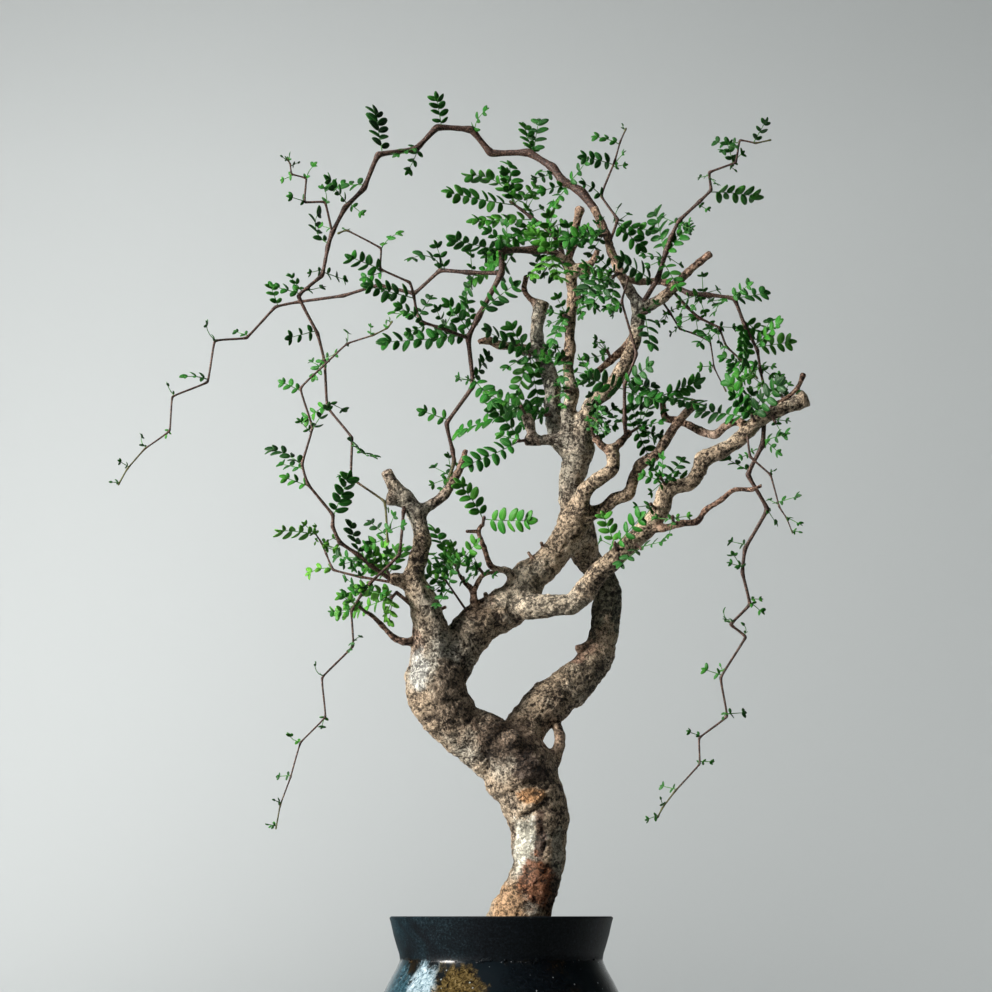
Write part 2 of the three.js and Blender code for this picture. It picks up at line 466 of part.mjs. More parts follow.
// A tapering limb with flat ends: rings square to its path, with a slow swell round each ring
function limbGeometry(points, radii, sides, swell) {
  const steps = points.slice(1).map((point, i) => point.clone().sub(points[i]).normalize());
  const corners = [];
  const triangles = [];
  let across = new THREE.Vector3(0, 1, 0);
  if (Math.abs(steps[0].y) > 0.8) across = new THREE.Vector3(1, 0, 0);
  points.forEach((point, i) => {
    const before = steps[Math.max(i - 1, 0)];
    const after = steps[Math.min(i, steps.length - 1)];
    const along = before.clone().add(after).normalize();
    across.addScaledVector(along, -across.dot(along)).normalize();
    const beside = along.clone().cross(across);
    for (let k = 0; k < sides; k++) {
      const turn = (2 * Math.PI * k) / sides;
      const lump = 1 + swell * (Math.sin(2 * turn + 1.7 * i) + 0.6 * Math.sin(3 * turn + 2.9 * i));
      const corner = point.clone();
      corner.addScaledVector(across, Math.cos(turn) * radii[i] * lump);
      corner.addScaledVector(beside, Math.sin(turn) * radii[i] * lump);
      corners.push(corner);
    }
  });
  const last = (points.length - 1) * sides;
  for (let i = 0; i < points.length - 1; i++) {
    for (let k = 0; k < sides; k++) {
      const a = i * sides + k;
      const b = i * sides + ((k + 1) % sides);
      triangles.push([a, b, b + sides], [a, b + sides, a + sides]);
    }
  }
  for (let k = 1; k < sides - 1; k++) {
    triangles.push([0, k + 1, k], [last, last + k, last + k + 1]);
  }
  return closedGeometry(corners, triangles);
}

// Joins and cuts
function toSolid(geometry) {
  const bare = geometry.clone();
  bare.deleteAttribute("normal");
  bare.deleteAttribute("uv");
  const merged = mergeVertices(bare, 1e-4);
  const vertProperties = new Float32Array(merged.attributes.position.array);
  const triVerts = new Uint32Array(merged.index.array);
  return new wasm.Manifold(new wasm.Mesh({ numProp: 3, vertProperties, triVerts }));
}

function toGeometry(solid) {
  const mesh = solid.getMesh();
  const geometry = new THREE.BufferGeometry();
  geometry.setAttribute("position", new THREE.BufferAttribute(mesh.vertProperties, 3));
  geometry.setIndex(new THREE.BufferAttribute(mesh.triVerts, 1));
  return geometry;
}

function joined(solids) {
  return solids.reduce((whole, solid) => whole.add(solid));
}

function solidMesh(geometry) {
  return new THREE.Mesh(geometry, new THREE.MeshStandardMaterial({ side: THREE.DoubleSide }));
}

// Room taken up by the wood and twigs, as balls along their paths, and by leaves once placed
const balls = [];

function fillWithBalls(owner, points, radii) {
  for (let i = 0; i + 1 < points.length; i++) {
    const length = points[i].distanceTo(points[i + 1]);
    const count = Math.max(1, Math.ceil(length / Math.max(1, 0.5 * radii[i])));
    for (let k = 0; k <= count; k++) {
      const share = k / count;
      const centre = points[i].clone().lerp(points[i + 1], share);
      balls.push({ owner, centre, radius: radii[i] + (radii[i + 1] - radii[i]) * share });
    }
  }
}

// Wood
const limbPaths = Object.entries(limbs).map(([name, rows]) => {
  return { name, points: rows.map(toPoint), radii: rows.map((row) => row[3]) };
});
for (const path of limbPaths) fillWithBalls("wood", path.points, path.radii);

function sidesFor(radius) {
  if (radius > 12) return 9;
  if (radius > 8) return 7;
  if (radius > 4) return 5;
  return radius > 2 ? 4 : 3;
}

function limbSolid(path) {
  const thickest = Math.max(...path.radii);
  return toSolid(limbGeometry(path.points, path.radii, sidesFor(thickest), thickest > 5 ? 0.05 : 0));
}

// Twigs: thicker at their foot, and a hair clear of what they grow from
for (const shoot of shoots) {
  shoot.points = shoot.route.map(toPoint);
  const last = shoot.points.length - 1;
  shoot.radii = shoot.points.map((point, i) => {
    return shoot.tip + (shoot.base - shoot.tip) * Math.pow(1 - i / last, twigTaper);
  });
}

// How far a ray from inside a solid runs before it leaves it for good
function wayOut(carrier, from, way) {
  const hits = new THREE.Raycaster(from, way).intersectObject(carrier);
  return hits.length > 0 ? hits[hits.length - 1].distance : 0;
}

function seatTwig(shoot, carrier) {
  const foot = shoot.points[0];
  const way = shoot.points[1].clone().sub(foot).normalize();
  const across = new THREE.Vector3(way.z, way.x, way.y).cross(way).setLength(shoot.base);
  let reach = wayOut(carrier, foot, way);
  for (let k = 0; k < 48; k++) {
    const aside = across.clone().applyAxisAngle(way, (k * Math.PI) / 12);
    const corner = foot.clone().addScaledVector(aside, k < 24 ? 1 : 0.6);
    reach = Math.max(reach, wayOut(carrier, corner, way));
  }
  const start = foot.clone().addScaledVector(way, reach + gap);
  shoot.twig = [start, ...shoot.points.slice(1)];
  fillWithBalls(shoot.name, shoot.twig, shoot.radii);
}

// The leaves at one point of a twig sit one behind the other on short bands just before it
function bandsAt(shoot, index) {
  const count = shoot.leaves.filter((row) => row[0] === index).length;
  const way = shoot.points[index - 1].clone().sub(shoot.points[index]);
  const knuckle = knuckleShare * shoot.radii[index];
  const room = (bandRoom * way.length() - knuckle) / Math.max(count, 1);
  return { count, way: way.normalize(), knuckle, width: Math.min(bandWidth, room) };
}

function leafRoot(shoot, index, place) {
  const { way, knuckle, width } = bandsAt(shoot, index);
  return shoot.points[index].clone().addScaledVector(way, knuckle + (place + 0.5) * width);
}

function twigGeometry(shoot) {
  const points = [shoot.twig[0]];
  const radii = [shoot.radii[0]];
  for (let i = 1; i < shoot.twig.length; i++) {
    const { count, way, knuckle, width } = bandsAt(shoot, i);
    for (let k = count; k > 0; k--) {
      points.push(shoot.twig[i].clone().addScaledVector(way, knuckle + k * width));
      radii.push(shoot.radii[i] * (k % 2 === 1 ? knuckleSwell : 1));
    }
    points.push(shoot.twig[i]);
    radii.push(shoot.radii[i]);
  }
  return limbGeometry(points, radii, shoot.base > 2.4 ? 4 : 3, 0);
}

// A leaf grows from a small face of the twig: one near its root with the whole leaf stalk in
// front of it, where its stalk doesn't cross that of a leaf on a face next to it. Where there is
// none, the stalk's foot is sunk into the middle of the twig.
function seatLeaf(leaf, faces, seated, stem) {
  const stalkEnd = stationCorners(leaf, leaf.petiole);
  for (const face of faces) {
    const plane = face.triangle.getPlane(new THREE.Plane());
    face.clearance = Math.min(...stalkEnd.map((corner) => plane.distanceToPoint(corner)));
    const away = face.triangle.getMidpoint(new THREE.Vector3()).distanceTo(leaf.root);
    face.score = 2 * Math.min(face.clearance, 0.6) - away / 4;
  }
  const shared = (face, { corners }) => face.corners.filter((i) => corners.includes(i)).length;
  const free = faces.filter((face) => {
    return face.clearance > leastClearance && seated.every((other) => shared(face, other) < 2);
  });
  for (const face of free.sort((one, other) => other.score - one.score)) {
    const { a, b, c } = face.triangle;
    const solid = toSolid(leafGeometry(leaf, [a, b, c]));
    const near = seated.filter((other) => shared(face, other) > 0);
    const clear = near.every((other) => other.solid.intersect(solid).volume() < 1e-4);
    const whole = stem.add(solid);
    const grown = clear && face.score > -leastClearance && whole.decompose().length === 1;
    if (grown) return { corners: face.corners, solid, whole };
  }
  const middle = ribPoint(leaf, leaf.petiole);
  const sunk = stalkEnd.map((corner) => corner.sub(middle).multiplyScalar(0.2).add(leaf.root));
  const solid = toSolid(leafGeometry(leaf, sunk));
  return { corners: [], solid, whole: stem.add(solid) };
}

function facesOf(geometry) {
  const corner = (i) => new THREE.Vector3().fromBufferAttribute(geometry.attributes.position, i);
  const index = geometry.index.array;
  const faces = [];
  for (let i = 0; i < index.length; i += 3) {
    const corners = [index[i], index[i + 1], index[i + 2]];
    const [a, b, c] = corners.map(corner);
    const longest = Math.max(a.distanceTo(b), b.distanceTo(c), c.distanceTo(a));
    if (longest < largestFoot) faces.push({ corners, triangle: new THREE.Triangle(a, b, c) });
  }
  return faces;
}

const woodGeometry = toGeometry(joined(limbPaths.map(limbSolid)));
const carriers = { wood: solidMesh(woodGeometry) };
for (const shoot of shoots) {
  seatTwig(shoot, carriers[shoot.from]);
  carriers[shoot.name] = solidMesh(twigGeometry(shoot));
}

// Leaf: a rib that bends evenly in the plane seen from the front and leans to the front or back
function ribPoint(leaf, share) {
  const first = leaf.angle - leaf.bend / 2;
  const now = first + leaf.bend * share;
  const flat = leaf.length * Math.cos(leaf.lean);
  const curved = Math.abs(leaf.bend) > 0.01;
  const right = curved ? (Math.sin(now) - Math.sin(first)) / leaf.bend : share * Math.cos(first);
  const up = curved ? (Math.cos(first) - Math.cos(now)) / leaf.bend : share * Math.sin(first);
  const back = leaf.length * Math.sin(leaf.lean) * share;
  return new THREE.Vector3(right * flat, back, up * flat).add(leaf.root);
}

function bladeFrame(leaf, share) {
  const now = leaf.angle + leaf.bend * (share - 0.5);
  const flat = Math.cos(leaf.lean);
  const along = new THREE.Vector3(Math.cos(now) * flat, Math.sin(leaf.lean), Math.sin(now) * flat);
  const upright = new THREE.Vector3(-Math.sin(now), 0, Math.cos(now));
  const facing = along.clone().cross(upright);
  const face = facing.multiplyScalar(Math.cos(leaf.roll)).addScaledVector(upright, Math.sin(leaf.roll));
  const side = face.clone().cross(along);
  return { along, face, side };
}

// A leaf stands off the line of its twig, before and past the point it grows from
function stoodOff(shoot, index, angle) {
  const beyond = [shoot.points[index - 1], shoot.points[index + 1]].filter((point) => point);
  return beyond.reduce((now, point) => {
    const line = point.clone().sub(shoot.points[index]);
    const way = Math.atan2(line.z, line.x) / degree;
    const off = ((((now - way + 180) % 360) + 360) % 360) - 180;
    return Math.abs(off) < leastOff ? way + (off < 0 ? -leastOff : leastOff) : now;
  }, angle);
}

// The leaf's growth: its length as seen, its lean out of that plane, and how its blade is turned
function grownLeaf(root, nodeRadius, angle, seen, bend, number, attempt) {
  const draw = draws(number);
  const firstLean = (draw() * 2 - 1) * widestLean;
  const turned = 12 + 45 * draw() + 0.35 * Math.abs(bend);
  const flip = draw() < 0.2 ? -1 : 1;
  const span = 2 * widestLean;
  const lean = (((firstLean + widestLean + attempt * leanStep) % span) - widestLean) * degree;
  const upward = Math.cos(angle * degree) >= 0 ? 1 : -1;
  const half = (bend * degree) / 2;
  const arc = half === 0 ? 1 : half / Math.sin(half);
  const leaf = { root, angle: angle * degree, bend: bend * degree, lean };
  leaf.roll = Math.min(turned, 84) * upward * flip * degree;
  leaf.length = (seen * arc) / Math.cos(lean);
  leaf.leaflet = Math.min(Math.max(1 + 0.27 * seen, 3), 9.5);
  leaf.petiole = Math.max(petioleShare, (nodeRadius + 1.5) / leaf.length);
  leaf.terminal = 1 - (0.95 * leaf.leaflet) / leaf.length;
  leaf.pairs = 1 + [13, 28, 44, 60].filter((limit) => seen > limit).length;
  return leaf;
}

// The rib is a three-sided bar: its left and right edge below, its ridge above
function stationCorners(leaf, share) {
  const { face, side } = bladeFrame(leaf, share);
  const centre = ribPoint(leaf, share);
  const left = centre.clone().addScaledVector(side, ribWidth / 2);
  const right = centre.clone().addScaledVector(side, -ribWidth / 2);
  const ridge = centre.clone().addScaledVector(face, ribHeight);
  return [right, left, ridge];
}

// The notches between leaflets, and the tips of the leaflets on one side
function leafShares(leaf) {
  const width = (leaf.terminal - leaf.petiole) / leaf.pairs;
  const notches = [];
  for (let k = 0; k <= leaf.pairs; k++) notches.push(leaf.petiole + k * width);
  return notches;
}

function leafletTip(leaf, share, way) {
  const { along, face, side } = bladeFrame(leaf, share);
  const forward = leafletForward * degree;
  const tip = ribPoint(leaf, share);
  tip.addScaledVector(side, way * leaf.leaflet * Math.sin(forward));
  tip.addScaledVector(along, leaf.leaflet * Math.cos(forward));
  tip.addScaledVector(face, -leafletDroop * leaf.leaflet);
  return tip;
}

function leafGeometry(leaf, foot) {
  const corners = [];
  const triangles = [];
  const put = (point) => corners.push(point) - 1;
  const station = (share) => {
    const [right, left, ridge] = stationCorners(leaf, share).map(put);
    return { left, right, ridge };
  };
  const notches = leafShares(leaf);
  let here = station(notches[0]);
  const order = [here.right, here.left, here.ridge];
  const reach = (turn) => {
    return order.reduce((sum, at, k) => sum + corners[at].distanceTo(foot[(k + turn) % 3]), 0);
  };
  const turn = [0, 1, 2].reduce((one, other) => (reach(other) < reach(one) ? other : one));
  const [right, left, ridge] = order.map((at, k) => put(foot[(k + turn) % 3].clone()));
  const base = { left, right, ridge };
  triangles.push([base.left, base.right, base.ridge]);
  triangles.push([base.left, base.ridge, here.ridge], [base.left, here.ridge, here.left]);
  triangles.push([base.ridge, base.right, here.right], [base.ridge, here.right, here.ridge]);
  triangles.push([base.right, base.left, here.left], [base.right, here.left, here.right]);
  for (let k = 0; k < leaf.pairs; k++) {
    const next = station(notches[k + 1]);
    const middle = 0.6 * notches[k] + 0.4 * notches[k + 1];
    const leftTip = put(leafletTip(leaf, middle, 1));
    const rightTip = put(leafletTip(leaf, middle, -1));
    triangles.push([here.left, here.ridge, leftTip], [leftTip, here.ridge, next.ridge]);
    triangles.push([leftTip, next.ridge, next.left], [here.left, leftTip, next.left]);
    triangles.push([here.ridge, here.right, rightTip], [rightTip, next.ridge, here.ridge]);
    triangles.push([rightTip, next.right, next.ridge], [rightTip, here.right, next.right]);
    triangles.push([here.right, here.left, next.left], [here.right, next.left, next.right]);
    here = next;
  }
  const tip = put(ribPoint(leaf, 1));
  if (leaf.pairs === 1) {
    triangles.push([here.left, here.ridge, tip], [here.ridge, here.right, tip]);
    triangles.push([here.right, here.left, tip]);
    return closedGeometry(corners, triangles);
  }
  const widest = 0.5 * (1 + notches[leaf.pairs]);
  const { face, side } = bladeFrame(leaf, widest);
  const middle = ribPoint(leaf, widest).addScaledVector(face, -0.05 * leaf.leaflet);
  const leftEdge = put(middle.clone().addScaledVector(side, 0.3 * leaf.leaflet));
  const rightEdge = put(middle.clone().addScaledVector(side, -0.3 * leaf.leaflet));
  triangles.push([here.left, here.ridge, leftEdge], [leftEdge, here.ridge, tip]);
  triangles.push([here.ridge, rightEdge, tip], [here.ridge, here.right, rightEdge]);
  triangles.push([here.left, leftEdge, tip], [here.right, tip, rightEdge]);
  triangles.push([here.right, here.left, tip]);
  return closedGeometry(corners, triangles);
}

// Leaves that would touch another shoot or the wood swing out of the plane until they are clear
function leafBalls(owner, leaf) {
  const list = [];
  const notches = leafShares(leaf);
  for (const share of [...notches, 1]) list.push({ owner, centre: ribPoint(leaf, share), radius: 1 });
  for (let k = 0; k < leaf.pairs; k++) {
    const middle = 0.6 * notches[k] + 0.4 * notches[k + 1];
    for (const way of [1, -1]) {
      const tip = leafletTip(leaf, middle, way);
      const halfway = tip.clone().lerp(ribPoint(leaf, middle), 0.5);
      list.push({ owner, centre: tip, radius: 0.8 }, { owner, centre: halfway, radius: 1.2 });
    }
  }
  return list;
}

function crowding(leaf, own) {
  let sum = 0;
  for (const ball of balls) {
    if (ball.centre.distanceTo(leaf.root) > leaf.length + 8 + ball.radius) continue;
    const sameStem = ball.owner === own[0].owner;
    if (sameStem && ball.centre.distanceTo(leaf.root) < 5) continue;
    for (const mine of own) {
      const room = mine.radius + ball.radius + (sameStem ? 0 : 0.5);
      const overlap = room - mine.centre.distanceTo(ball.centre);
      if (overlap > 0) sum += sameStem ? 0.3 * overlap : overlap;
    }
  }
  return sum;
}

shoots.forEach((shoot, shootNumber) => {
  shoot.grown = [];
  shoot.leaves.forEach((row, i) => {
    const leafNumber = leafNumbersPerShoot * shootNumber + i;
    const place = shoot.leaves.filter((other) => other[0] === row[0]).indexOf(row);
    const [index, angleSeen, seen, bend = 0] = row;
    const root = leafRoot(shoot, index, place);
    const angle = stoodOff(shoot, index, angleSeen);
    let best = null;
    for (let attempt = 0; attempt < leanTries; attempt++) {
      const leaf = grownLeaf(root, shoot.radii[index], angle, seen, bend, leafNumber, attempt);
      const own = leafBalls(shoot.name, leaf);
      const crowd = crowding(leaf, own);
      if (!best || crowd < best.crowd) best = { leaf, own, crowd };
      if (crowd === 0) break;
    }
    balls.push(...best.own);
    shoot.grown.push(best.leaf);
  });
});

// Pot: a flared collar over a round belly, hollow, with drain holes clear of its centre
const potOutside = [
  [0, rimHeight], [footRadius, rimHeight], [footRadius + 7, 160], [85, 150], [94.5, 136],
  [bellyRadius, 114], [97.5, 92], [91, 72], [81.5, 53], [74.5, 39],
  [neckRadius, collarHeight], [71.3, 25], [rimRadius - 0.5, 1], [rimRadius - 1.2, 0],
];
const potInside = [
  [rimRadius - wall + 0.6, 0], [neckRadius - wall, collarHeight], [76, 54], [90, 86],
  [93, 110], [84, 141], [66, rimHeight - floorThickness],
];

function latheFromRim(profile) {
  const points = profile.map(([radius, below]) => new THREE.Vector2(radius, rimHeight - below));
  points[0].x = 0;
  points[points.length - 1].x = 0;
  return new THREE.LatheGeometry(points, potSegments).rotateX(Math.PI / 2);
}

function potSolid() {
  const floor = [0, rimHeight - floorThickness];
  let pot = toSolid(latheFromRim([...potOutside, ...potInside, floor]));
  for (let k = 0; k < drainHoles; k++) {
    const hole = new THREE.CylinderGeometry(drainHoleRadius, drainHoleRadius, 3 * floorThickness, 10);
    const turn = (2 * Math.PI * k) / drainHoles + Math.PI / 2;
    hole.rotateX(Math.PI / 2);
    hole.translate(drainHoleDistance * Math.cos(turn), drainHoleDistance * Math.sin(turn), 0);
    pot = pot.subtract(toSolid(hole));
  }
  return pot;
}

function screenGeometry() {
  const disc = new THREE.CylinderGeometry(screenRadius, screenRadius, screenThickness, 16);
  return disc.rotateX(Math.PI / 2).translate(0, 0, floorThickness + gap + screenThickness / 2);
}

// Soil: what the pot holds, with a plain hole round the trunk's foot
function soilSolid() {
  const bottom = rimHeight - floorThickness - screenThickness - 2 * gap;
  const inside = potInside.filter(([, below]) => below > soilBelowRim && below < bottom);
  const edge = rimRadius - wall + 0.6 - (8.5 * soilBelowRim) / collarHeight;
  const outline = [[edge - gap, soilBelowRim], ...inside.map(([r, below]) => [r - 1.5 * gap, below])];
  const profile = [[0, soilBelowRim - 2], ...outline, [66, bottom], [0, bottom]].reverse();
  const trunk = limbPaths[0];
  const foot = trunk.points[0].clone().sub(trunk.points[1]).setLength(gap).add(trunk.points[0]);
  const points = [foot, ...trunk.points.slice(1)];
  const radii = trunk.radii.map((radius) => radius + 1.6 * gap);
  const hole = toSolid(limbGeometry(points, radii, sidesFor(Math.max(...trunk.radii)), 0.05));
  return toSolid(latheFromRim(profile)).subtract(hole);
}

// Assembly
const tree = new THREE.Group();

function addPiece(name, geometry, color, roughness, metalness = 0) {
  const material = new THREE.MeshStandardMaterial({ color, roughness, metalness });
  const mesh = new THREE.Mesh(geometry, material);
  mesh.name = name;
  tree.add(mesh);
}

addPiece("pot", toGeometry(potSolid()), 0x14181b, 0.25);
addPiece("drain_screen", screenGeometry(), 0x2b2b2b, 0.7);
addPiece("soil", toGeometry(soilSolid()), 0x6f604f, 0.95);
addPiece("wood", woodGeometry, 0x7d664f, 0.85);
for (const shoot of shoots) {
  const twig = twigGeometry(shoot);
  const faces = facesOf(twig);
  const seated = [];
  let stem = toSolid(twig);
  for (const leaf of shoot.grown) {
    seated.push(seatLeaf(leaf, faces, seated, stem));
    stem = seated[seated.length - 1].whole;
  }
  addPiece(shoot.name, toGeometry(stem), 0x2f6b25, 0.5);
}

export default tree;
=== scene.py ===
"""A commiphora bonsai in a round glazed pot: thick knobbly wood, thin zigzag shoots with small
compound leaves, gritty soil, and a plain studio round it."""
import math

import bpy
import bmesh
import numpy as np
from mathutils import Matrix, Vector, noise
from mathutils.kdtree import KDTree


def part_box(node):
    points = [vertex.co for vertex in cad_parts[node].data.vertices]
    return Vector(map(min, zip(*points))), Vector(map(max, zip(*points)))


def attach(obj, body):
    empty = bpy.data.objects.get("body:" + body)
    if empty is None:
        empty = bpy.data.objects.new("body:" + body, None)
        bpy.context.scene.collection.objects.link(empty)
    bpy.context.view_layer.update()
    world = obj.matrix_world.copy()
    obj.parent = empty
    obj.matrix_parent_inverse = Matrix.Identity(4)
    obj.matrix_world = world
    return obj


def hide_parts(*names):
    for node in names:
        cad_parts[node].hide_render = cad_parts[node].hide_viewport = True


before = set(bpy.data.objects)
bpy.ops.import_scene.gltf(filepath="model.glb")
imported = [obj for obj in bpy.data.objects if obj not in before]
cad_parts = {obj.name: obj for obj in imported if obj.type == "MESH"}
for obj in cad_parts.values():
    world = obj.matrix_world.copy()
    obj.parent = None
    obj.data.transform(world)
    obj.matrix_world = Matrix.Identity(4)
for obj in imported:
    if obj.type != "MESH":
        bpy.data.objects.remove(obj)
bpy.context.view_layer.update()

bl_info = {
    "name": "Commiphora bonsai",
    "version": (1, 0, 0),
    "blender": (4, 5, 0),
    "location": "View3D > Sidebar > Bonsai",
    "description": "Dresses the bonsai's solids: pot, soil, bark, twigs and leaves",
    "category": "Object",
}

MM = 0.001
DEGREE = math.pi / 180

# Shared with the solids, in millimetres: the pot's rim is where heights in the tables start
RIM_HEIGHT = 168
TWIG_TAPER = 1.5
KNUCKLE_SHARE = 1.2
BAND_WIDTH = 1.6
BAND_ROOM = 0.55
PETIOLE_SHARE = 0.18
LEAST_OFF = 28
WIDEST_LEAN = 48
LEAN_STEP = 13
LEAN_TRIES = 15
LEAF_NUMBERS_PER_SHOOT = 50
SPRAY_FOOT = 1.4
SPRAY_KNOB = 1.1
THIN_SPRAYS = ("spray_slant_thin",)
THIN_SPRAY_LESS = 0.3

# Wood, in millimetres
THIN_LIMB = 3.3
LIMB_STEP = 2.5
# Painted hollow shade for the thin twigs, which have no carved relief
YOUNG_HOLLOW_SHADE = 0.5

# Leaflets, as shares of a leaflet's length
LEAFLET_STATIONS = 6
LEAFLET_HALF_WIDTH = 0.27
LEAFLET_FOLD = 1 / 3
LEAFLET_DROOP = 0.10
LEAFLET_SIZE = 0.97
SISTER_SHORTEST = 12
RIB_STEPS = 8

# Pot and what lies in it
POT_SIDES = 96
DRAIN_HOLES = 3
DRAIN_RADIUS = 0.006
DRAIN_DISTANCE = 0.022
BEADS = 44
FRONT_BEADS = 22
STONES = 620
STONE_SHAPES = 5
STONE_REACH = 66
TRUNK_RIGHT = 6
TRUNK_CLEARANCE = 22.5
SOIL_SLOPE = 2 / 71

# Patches of bark and glaze
PATCH_STRENGTH = 0.92
BARK_RAGGED = 2.0
GLAZE_RAGGED = 1.8

# Camera and studio, in metres
SENSOR = 36
FRAME_WIDTH = 0.6944
FRAME_RIGHT = -0.0037
FRAME_ABOVE_RIM = 0.2937
FLOOR_SIZE = 8
BACKDROP_HEIGHT = 4.5
BACKDROP_BEND = 0.9

